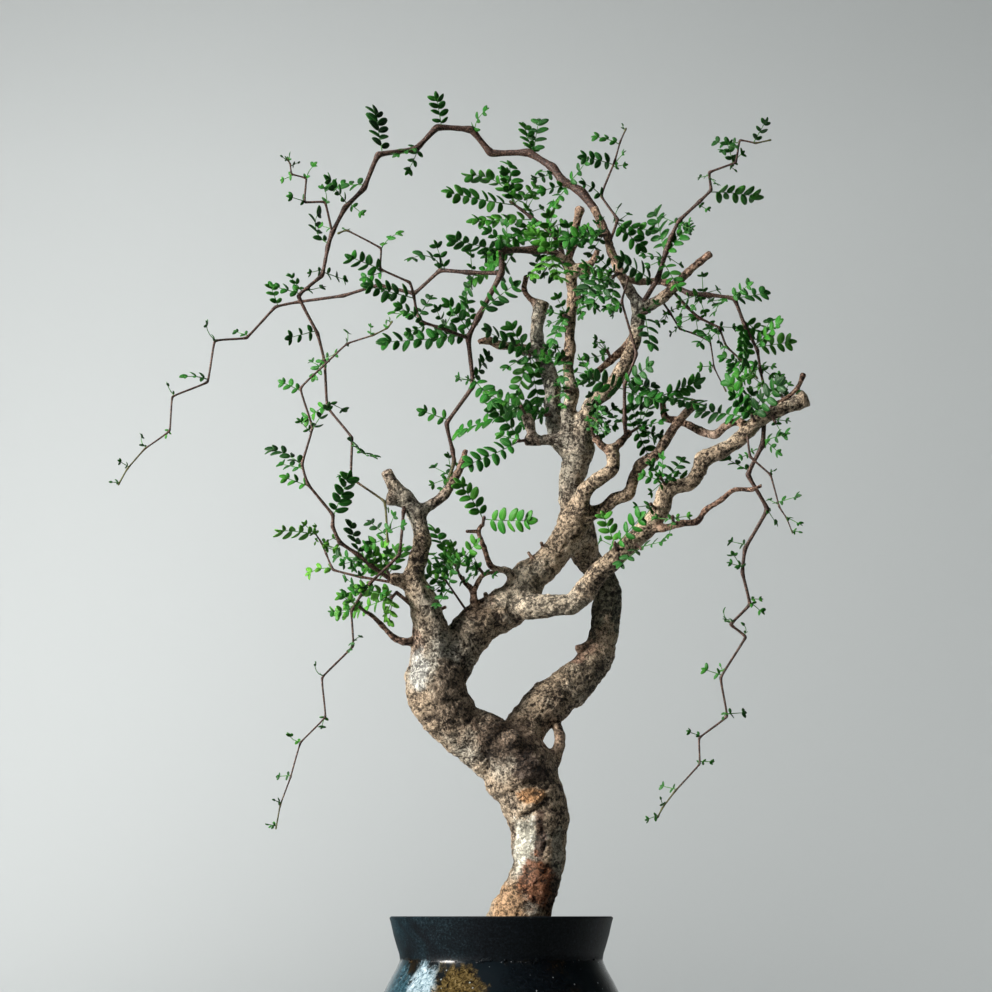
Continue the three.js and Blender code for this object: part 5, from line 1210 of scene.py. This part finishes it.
def patch_group():
    """A patch round a middle, with an edge made ragged by a noise: 1 inside, 0 outside."""
    known = bpy.data.node_groups.get("Ragged patch")
    if known:
        return known
    look = Look("Ragged patch", {"Where": "Vector", "Middle": "Vector", "Reach": "Vector",
                                 "Noise": "Float", "Raggedness": "Float"}, {"Mask": "Float"})
    spot = look.given["Where"]
    for operation, other in (("SUBTRACT", look.given["Middle"]), ("DIVIDE", look.given["Reach"])):
        node = look.add("ShaderNodeVectorMath", operation=operation)
        look.join(spot, node.inputs[0])
        look.join(other, node.inputs[1])
        spot = node.outputs[0]
    length = look.add("ShaderNodeVectorMath", operation="LENGTH")
    look.join(spot, length.inputs[0])
    wavy = look.math("MULTIPLY", look.math("SUBTRACT", look.given["Noise"], 0.5), look.given["Raggedness"])
    edge = look.math("ADD", length.outputs["Value"], wavy)
    look.join(look.range(edge, 0.75, 1.1, 1.0, 0.0), look.result["Mask"])
    return look.tree


def add_patches(look, where, colour, patches, raggedness):
    """Lays patches, each a middle, a reach and a colour, over a colour."""
    ragged = look.noise(where, 90, 5.0, 0.7)
    for middle, reach, over in patches:
        patch = look.group(patch_group(), Where=where, Middle=middle, Reach=reach, Noise=ragged,
                           Raggedness=raggedness)
        colour = look.mix(look.math("MULTIPLY", patch.outputs["Mask"], PATCH_STRENGTH), colour, over)
    return colour


def grain_group():
    """Bark grain: a fine and a coarse roughness mixed, and its height."""
    known = bpy.data.node_groups.get("Bark grain")
    if known:
        return known
    look = Look("Bark grain", {"Where": "Vector"}, {"Tone": "Float", "Height": "Float"})
    where = look.given["Where"]
    coarse = look.noise(where, 120, 4.0, 0.65, 0.5)
    fine = look.noise(where, 470, 2.5, 0.66, 0.8)
    wide = look.noise(where, 30, 3.0, 0.55)
    wave = look.add("ShaderNodeTexWave", bands_direction="Z")
    look.join(where, wave.inputs["Vector"])
    for name, value in (("Scale", 34), ("Distortion", 11), ("Detail", 3), ("Detail Scale", 1.6)):
        wave.inputs[name].default_value = value
    wrinkles = look.range(wave.outputs["Fac"], 0.02, 0.26, -0.055, 0.0)
    tone = look.math("ADD", look.math("MULTIPLY", coarse, 0.12), look.math("MULTIPLY", fine, 0.90))
    tone = look.math("ADD", tone, look.math("MULTIPLY", wide, 0.20))
    tone = look.math("ADD", tone, wrinkles)
    look.join(look.math("SUBTRACT", tone, 0.10), look.result["Tone"])
    height = look.math("ADD", look.math("MULTIPLY", coarse, 0.4), look.math("MULTIPLY", fine, 0.6))
    look.join(look.math("ADD", height, look.math("MULTIPLY", wrinkles, 3.0)), look.result["Height"])
    return look.tree


def bark_stops(light, dark):
    """From the pits to the ridges of a kind of bark."""
    middle = tuple(0.36 * a + 0.5 * b for a, b in zip(light, dark))
    bright = tuple(min(1.5 * v + 0.04, 1) for v in light)
    return [(0.36, dark), (0.44, middle), (0.53, light), (0.62, bright)]


def bark_material(look):
    bark = Look("bark")
    where = bark.place()
    grain = bark.group(grain_group(), Where=where)
    # Painted shade in the bark's hollows and creases, and a little painted light on its ridges
    hollow = bark.range(bark.attribute("hollow"), 0.25, 0.95, 0.035, -0.09)
    tone = bark.math("ADD", grain.outputs["Tone"], hollow)
    light, dark = tuple(look.light), tuple(look.dark)
    old = bark.ramp(tone, bark_stops(light, dark))
    greyed = bark.ramp(tone, bark_stops((0.46, 0.42, 0.34), (0.045, 0.036, 0.026)))
    old = bark.mix(bark.range(bark.noise(where, 17, 3.0), 0.48, 0.66), old, greyed)
    young = bark.ramp(tone, bark_stops((0.33, 0.19, 0.125), (0.030, 0.014, 0.009)))
    thick = bark.range(bark.attribute("girth"), 2.4, 4.6)
    colour = bark.mix(thick, young, old)
    patches = []
    for middle, reach, shade in BARK_PATCHES.values():
        evenness = 0.10 + 0.42 * shade[1] ** 2
        over = bark.ramp(tone, bark_stops(shade, tuple(evenness * v for v in shade)))
        patches.append((tuple(to_point(middle) * MM), tuple(v * MM for v in reach), over))
    colour = add_patches(bark, where, colour, patches, BARK_RAGGED)
    specks = bark.range(bark.cells(where, 260), 0.10, 0.17, 0.6, 0.0)
    colour = bark.mix(specks, colour, (0.022, 0.013, 0.008))
    height = bark.math("SUBTRACT", grain.outputs["Height"], bark.math("MULTIPLY", specks, 0.35))
    normal = bark.bump(height, 0.9, 0.0032)
    return bark.finish(colour, bark.range(tone, 0.40, 0.70, 0.95, 0.62), normal)


def twig_material():
    twig = Look("twig bark")
    where = twig.place()
    grain = twig.group(grain_group(), Where=where)
    fine = twig.noise(where, 900, 4.0, 0.7)
    old = twig.ramp(fine, [(0.40, (0.018, 0.009, 0.006)), (0.52, (0.075, 0.036, 0.024)),
                           (0.66, (0.28, 0.165, 0.12))])
    green = twig.ramp(fine, [(0.35, (0.05, 0.06, 0.015)), (0.65, (0.22, 0.26, 0.06))])
    tip = twig.range(twig.attribute("tint"), 0.88, 1.0)
    colour = twig.mix(tip, old, green)
    normal = twig.bump(grain.outputs["Height"], 0.5, 0.0006)
    return twig.finish(colour, 0.62, normal)


def leaf_material(look):
    leaf = Look("leaflet")
    where = leaf.place()
    spot = leaf.add("ShaderNodeUVMap", uv_map="leaflet")
    parts = leaf.add("ShaderNodeSeparateXYZ")
    leaf.join(spot.outputs["UV"], parts.inputs[0])
    off_rib = leaf.math("ABSOLUTE", leaf.math("SUBTRACT", parts.outputs["Y"], 0.5))
    tint = leaf.attribute("tint")
    mottled = leaf.math("ADD", tint, leaf.math("MULTIPLY", leaf.noise(where, 160, 3.0), 0.22))
    deep, bright = tuple(look.deep), tuple(look.bright)
    mid = (0.018, 0.185, 0.012)
    colour = leaf.ramp(mottled, [(0.22, deep), (0.50, mid), (0.95, bright)])
    rib = leaf.range(off_rib, 0.015, 0.05, 0.6, 0.0)
    # The pale midrib is the leaflet's own colour; the pale rim along the outline is a painted highlight
    rim = leaf.range(off_rib, 0.40, 0.5, 0.0, 0.35)
    pale = leaf.mix(0.45, colour, (0.30, 0.52, 0.18))
    colour = leaf.mix(leaf.math("MAXIMUM", rib, rim), colour, pale)
    wave = leaf.add("ShaderNodeTexWave", bands_direction="X")
    slanted = leaf.add("ShaderNodeCombineXYZ")
    along_vein = leaf.math("SUBTRACT", parts.outputs["X"], leaf.math("MULTIPLY", off_rib, 0.9))
    leaf.join(along_vein, slanted.inputs[0])
    leaf.join(slanted.outputs[0], wave.inputs["Vector"])
    wave.inputs["Scale"].default_value = 2.6
    colour = leaf.mix(leaf.range(wave.outputs["Fac"], 0.75, 1.0, 0.0, 0.16), colour, pale)
    normal = leaf.bump(wave.outputs["Fac"], 0.25, 0.0003)
    return leaf.finish(colour, 0.42, normal, Specular_IOR_Level=0.28)


def glaze_material(size):
    glaze = Look("glaze")
    where = glaze.place()
    parts = glaze.add("ShaderNodeSeparateXYZ")
    glaze.join(where, parts.inputs[0])
    height = parts.outputs["Z"]
    top = RIM_HEIGHT * MM
    speck = glaze.noise(where, 620, 5.0, 0.8)
    clouds = glaze.noise(where, 30, 5.0, 0.6, 0.8)
    # Teal speckle on the collar's left: the glaze's own speckle, brightened as painted sheen where the light
    # falls from the left
    left_sheen_share = glaze.range(parts.outputs["X"], -0.078, -0.015, 1.0, 0.0)
    collar = glaze.ramp(speck, [(0.40, (0.002, 0.003, 0.004)), (0.56, (0.006, 0.009, 0.012)),
                                (0.70, (0.016, 0.021, 0.027))])
    teal_speckle_and_sheen = glaze.ramp(speck, [(0.40, (0.004, 0.010, 0.014)), (0.55, (0.012, 0.032, 0.042)),
                              (0.70, (0.08, 0.14, 0.16))])
    collar = glaze.mix(glaze.math("MULTIPLY", left_sheen_share, glaze.range(clouds, 0.36, 0.56)), collar, teal_speckle_and_sheen)
    grit = glaze.noise(where, 300, 6.0, 0.8, 1.0)
    umber = glaze.ramp(grit, [(0.42, (0.004, 0.003, 0.002)), (0.54, (0.022, 0.014, 0.006)),
                              (0.66, (0.10, 0.062, 0.022))])
    body = glaze.mix(glaze.range(glaze.noise(where, 22, 4.0, 0.6), 0.46, 0.60), tuple(size.glaze), umber)
    gold = glaze.ramp(grit, [(0.42, (0.008, 0.006, 0.003)), (0.52, (0.11, 0.072, 0.022)),
                             (0.62, (0.27, 0.195, 0.075)), (0.76, (0.50, 0.46, 0.30))])
    # Pale ice-blue glaze, partly painted highlight where the light from the left reflects
    ice_and_highlight = glaze.ramp(grit, [(0.38, (0.02, 0.045, 0.055)), (0.46, (0.24, 0.36, 0.42)),
                            (0.56, (0.55, 0.68, 0.74)), (0.72, (0.85, 0.92, 0.94))])
    blue = glaze.ramp(grit, [(0.40, (0.008, 0.025, 0.035)), (0.55, (0.04, 0.10, 0.13)),
                             (0.72, (0.20, 0.32, 0.36))])
    kinds = {"gold": gold, "ice_and_highlight": ice_and_highlight, "blue": blue, "dark": collar}
    patches = [(middle, reach, kinds[kind]) for middle, reach, kind in GLAZE_PATCHES]
    body = add_patches(glaze, where, body, patches, GLAZE_RAGGED)
    glints = glaze.range(glaze.cells(where, 130), 0.05, 0.09, 1.0, 0.0)
    body = glaze.mix(glaze.math("MULTIPLY", glints, 0.8), body, (0.55, 0.60, 0.60))
    wavy = glaze.math("ADD", height, glaze.math("MULTIPLY", glaze.noise(where, 70, 3.0), 0.005))
    upper = glaze.range(wavy, top - 0.0285, top - 0.0265)
    colour = glaze.mix(upper, body, collar)
    clay = glaze.ramp(glaze.noise(where, 500, 4.0),
                      [(0.35, (0.07, 0.045, 0.03)), (0.65, (0.22, 0.15, 0.10))])
    foot = glaze.range(wavy, 0.006, 0.008)
    colour = glaze.mix(foot, clay, colour)
    chips = glaze.range(glaze.cells(where, 260), 0.05, 0.09)
    near_rim = glaze.range(height, top - 0.0030, top - 0.0006, 0.0, 0.7)
    worn = glaze.math("MULTIPLY", glaze.range(chips, 0.0, 1.0, 1.0, 0.0), near_rim)
    colour = glaze.mix(worn, colour, (0.20, 0.19, 0.17))
    roughness = glaze.range(upper, 0.0, 1.0, 0.14, 0.50)
    roughness = glaze.math("ADD", roughness, glaze.range(foot, 0.0, 1.0, 0.6, 0.0))
    pitted = glaze.math("ADD", glaze.math("MULTIPLY", glaze.noise(where, 45, 4.0, 0.5), 0.8),
                        glaze.math("MULTIPLY", grit, 0.25))
    normal = glaze.bump(pitted, 0.35, 0.0016)
    glaze.join(glaze.range(upper, 0.0, 1.0, 0.24, 0.0), glaze.shader.inputs["Coat Weight"])
    return glaze.finish(colour, roughness, normal, Specular_IOR_Level=0.10, Coat_Roughness=0.08)


def soil_material():
    soil = Look("soil")
    where = soil.place()
    cells = soil.cells(where, 300)
    colour = soil.ramp(soil.noise(where, 260, 4.0),
                       [(0.35, (0.06, 0.045, 0.03)), (0.62, (0.28, 0.22, 0.16))])
    normal = soil.bump(soil.math("SUBTRACT", 1.0, cells), 0.9, 0.002)
    return soil.finish(colour, 0.95, normal)


def grit_material():
    grit = Look("grit")
    where = grit.place()
    blotch = grit.noise(where, 120, 1.0)
    colour = grit.ramp(blotch, [(0.38, (0.10, 0.075, 0.055)), (0.48, (0.34, 0.27, 0.20)),
                                (0.56, (0.20, 0.19, 0.18)), (0.64, (0.55, 0.50, 0.43))])
    normal = grit.bump(grit.noise(where, 900, 4.0), 0.6, 0.0006)
    return grit.finish(colour, 0.9, normal)


def screen_material():
    screen = Look("mesh screen")
    where = screen.place()
    across, along = (screen.add("ShaderNodeTexWave", bands_direction=way) for way in ("X", "Y"))
    for wave in (across, along):
        screen.join(where, wave.inputs["Vector"])
        wave.inputs["Scale"].default_value = 130
    threads = screen.math("MAXIMUM", across.outputs["Fac"], along.outputs["Fac"])
    colour = screen.ramp(threads, [(0.45, (0.005, 0.005, 0.005)), (0.7, (0.05, 0.05, 0.05))])
    return screen.finish(colour, 0.7, screen.bump(threads, 0.8, 0.0008))


def backdrop_material(shade):
    """A matt sheet that lets the view through from behind, so every side of the bonsai shows."""
    wall = Look("backdrop")
    wall.shader.inputs["Base Color"].default_value = (*shade, 1)
    wall.shader.inputs["Roughness"].default_value = 0.95
    side = wall.add("ShaderNodeNewGeometry")
    clear = wall.add("ShaderNodeBsdfTransparent")
    both = wall.add("ShaderNodeMixShader")
    wall.join(side.outputs["Backfacing"], both.inputs[0])
    wall.join(wall.shader.outputs[0], both.inputs[1])
    wall.join(clear.outputs[0], both.inputs[2])
    wall.join(both.outputs[0], wall.tree.nodes["Material Output"].inputs["Surface"])
    return wall.material


# Stage
class BONSAI_OT_stage(bpy.types.Operator):
    """Sets the camera where the photograph was taken from, soft light, floor and backdrop"""
    bl_idname = "bonsai.stage"
    bl_label = "Stage"

    def execute(self, context):
        look = context.scene.bonsai_stage
        self.backdrop(look)
        aim = Vector((FRAME_RIGHT, 0, RIM_HEIGHT * MM + FRAME_ABOVE_RIM))
        eye = Vector((aim.x, -look.distance, RIM_HEIGHT * MM))
        camera = bpy.data.objects.new("camera", bpy.data.cameras.new("camera"))
        context.scene.collection.objects.link(camera)
        camera.data.sensor_width = SENSOR
        camera.data.lens = SENSOR * (aim - eye).length / FRAME_WIDTH
        camera.location = eye
        camera.rotation_euler = (aim - eye).to_track_quat("-Z", "Y").to_euler()
        camera.data.clip_end = 60
        context.scene.camera = camera
        self.lamp("window", (-2.0, -0.95, 1.05), (0, 0, 0.42), 0.9, 36, 6.0, (1.0, 0.98, 0.945))
        self.lamp("sky", (-0.4, -0.5, 2.3), (0, 0, 0.4), 1.2, 70, 2.4, (0.97, 0.98, 1.0))
        self.lamp("wash", (-0.75, 0.75, 0.50), (-0.3, 2.0, 0.60), 0.6, 110, 6.2, (1.0, 0.99, 0.975))
        self.lamp("wash right", (0.9, 0.2, 0.10), (0.4, 2.0, 0.10), 0.6, 120, 9.4, (1.0, 1.0, 0.99))
        world = bpy.data.worlds.new("studio")
        world.use_nodes = True
        background = world.node_tree.nodes["Background"]
        background.inputs["Color"].default_value = (0.86, 0.9, 0.95, 1)
        background.inputs["Strength"].default_value = 0.07
        context.scene.world = world
        context.scene.view_settings.view_transform = "Standard"
        return {"FINISHED"}

    def backdrop(self, look):
        clear_selection()
        bpy.ops.mesh.primitive_plane_add(size=FLOOR_SIZE, location=(0, -2, 0))
        floor = bpy.context.object
        floor.name = "floor"
        bpy.ops.object.transform_apply(location=True, rotation=True, scale=True)
        mesh = floor.data
        form = bmesh.new()
        form.from_mesh(mesh)
        back = [edge for edge in form.edges if all(vertex.co.y > 1.9 for vertex in edge.verts)]
        for edge in form.edges:
            edge.select = edge in back
        form.to_mesh(mesh)
        form.free()
        bpy.ops.object.mode_set(mode="EDIT")
        bpy.ops.mesh.select_mode(type="EDGE")
        bpy.ops.mesh.extrude_region_move(TRANSFORM_OT_translate={"value": (0, 0, BACKDROP_HEIGHT)})
        bpy.ops.object.mode_set(mode="OBJECT")
        bend = floor.modifiers.new("bend", "BEVEL")
        bend.width = BACKDROP_BEND
        bend.segments = 24
        bend.limit_method = "ANGLE"
        apply_modifiers(floor)
        floor.data.flip_normals()
        floor.data.shade_smooth()
        floor.data.materials.append(backdrop_material(look.wall))

    def lamp(self, name, spot, target, size, spread, power, colour):
        light = bpy.data.lights.new(name, "AREA")
        light.spread = spread * DEGREE
        light.shape = "DISK"
        light.size = size
        light.energy = power
        light.color = colour
        lamp = bpy.data.objects.new(name, light)
        lamp.location = spot
        lamp.rotation_euler = (Vector(target) - Vector(spot)).to_track_quat("-Z", "Y").to_euler()
        bpy.context.scene.collection.objects.link(lamp)


class BONSAI_PT_panel(bpy.types.Panel):
    """Lists the steps that dress the bonsai"""
    bl_label = "Bonsai"
    bl_idname = "BONSAI_PT_panel"
    bl_space_type = "VIEW_3D"
    bl_region_type = "UI"
    bl_category = "Bonsai"

    def draw(self, context):
        for step in STEPS:
            self.layout.operator(step.bl_idname)
        for group in (context.scene.bonsai_pot, context.scene.bonsai_bark, context.scene.bonsai_leaf,
                      context.scene.bonsai_stage):
            for name in group.__annotations__:
                self.layout.prop(group, name)


STEPS = (BONSAI_OT_stage, BONSAI_OT_pot, BONSAI_OT_soil, BONSAI_OT_wood, BONSAI_OT_shoots)
GROUPS = (("bonsai_pot", BonsaiPotSize), ("bonsai_bark", BonsaiBarkLook), ("bonsai_leaf", BonsaiLeafLook),
          ("bonsai_stage", BonsaiStageLook))


def register():
    for name, group in GROUPS:
        bpy.utils.register_class(group)
        setattr(bpy.types.Scene, name, bpy.props.PointerProperty(type=group))
    for step in STEPS:
        bpy.utils.register_class(step)
    bpy.utils.register_class(BONSAI_PT_panel)


def unregister():
    bpy.utils.unregister_class(BONSAI_PT_panel)
    for step in reversed(STEPS):
        bpy.utils.unregister_class(step)
    for name, group in reversed(GROUPS):
        delattr(bpy.types.Scene, name)
        bpy.utils.unregister_class(group)


def main():
    register()
    bpy.ops.bonsai.stage()
    bpy.ops.bonsai.pot()
    bpy.ops.bonsai.soil()
    bpy.ops.bonsai.wood()
    bpy.ops.bonsai.shoots()


if __name__ == "__main__":
    main()
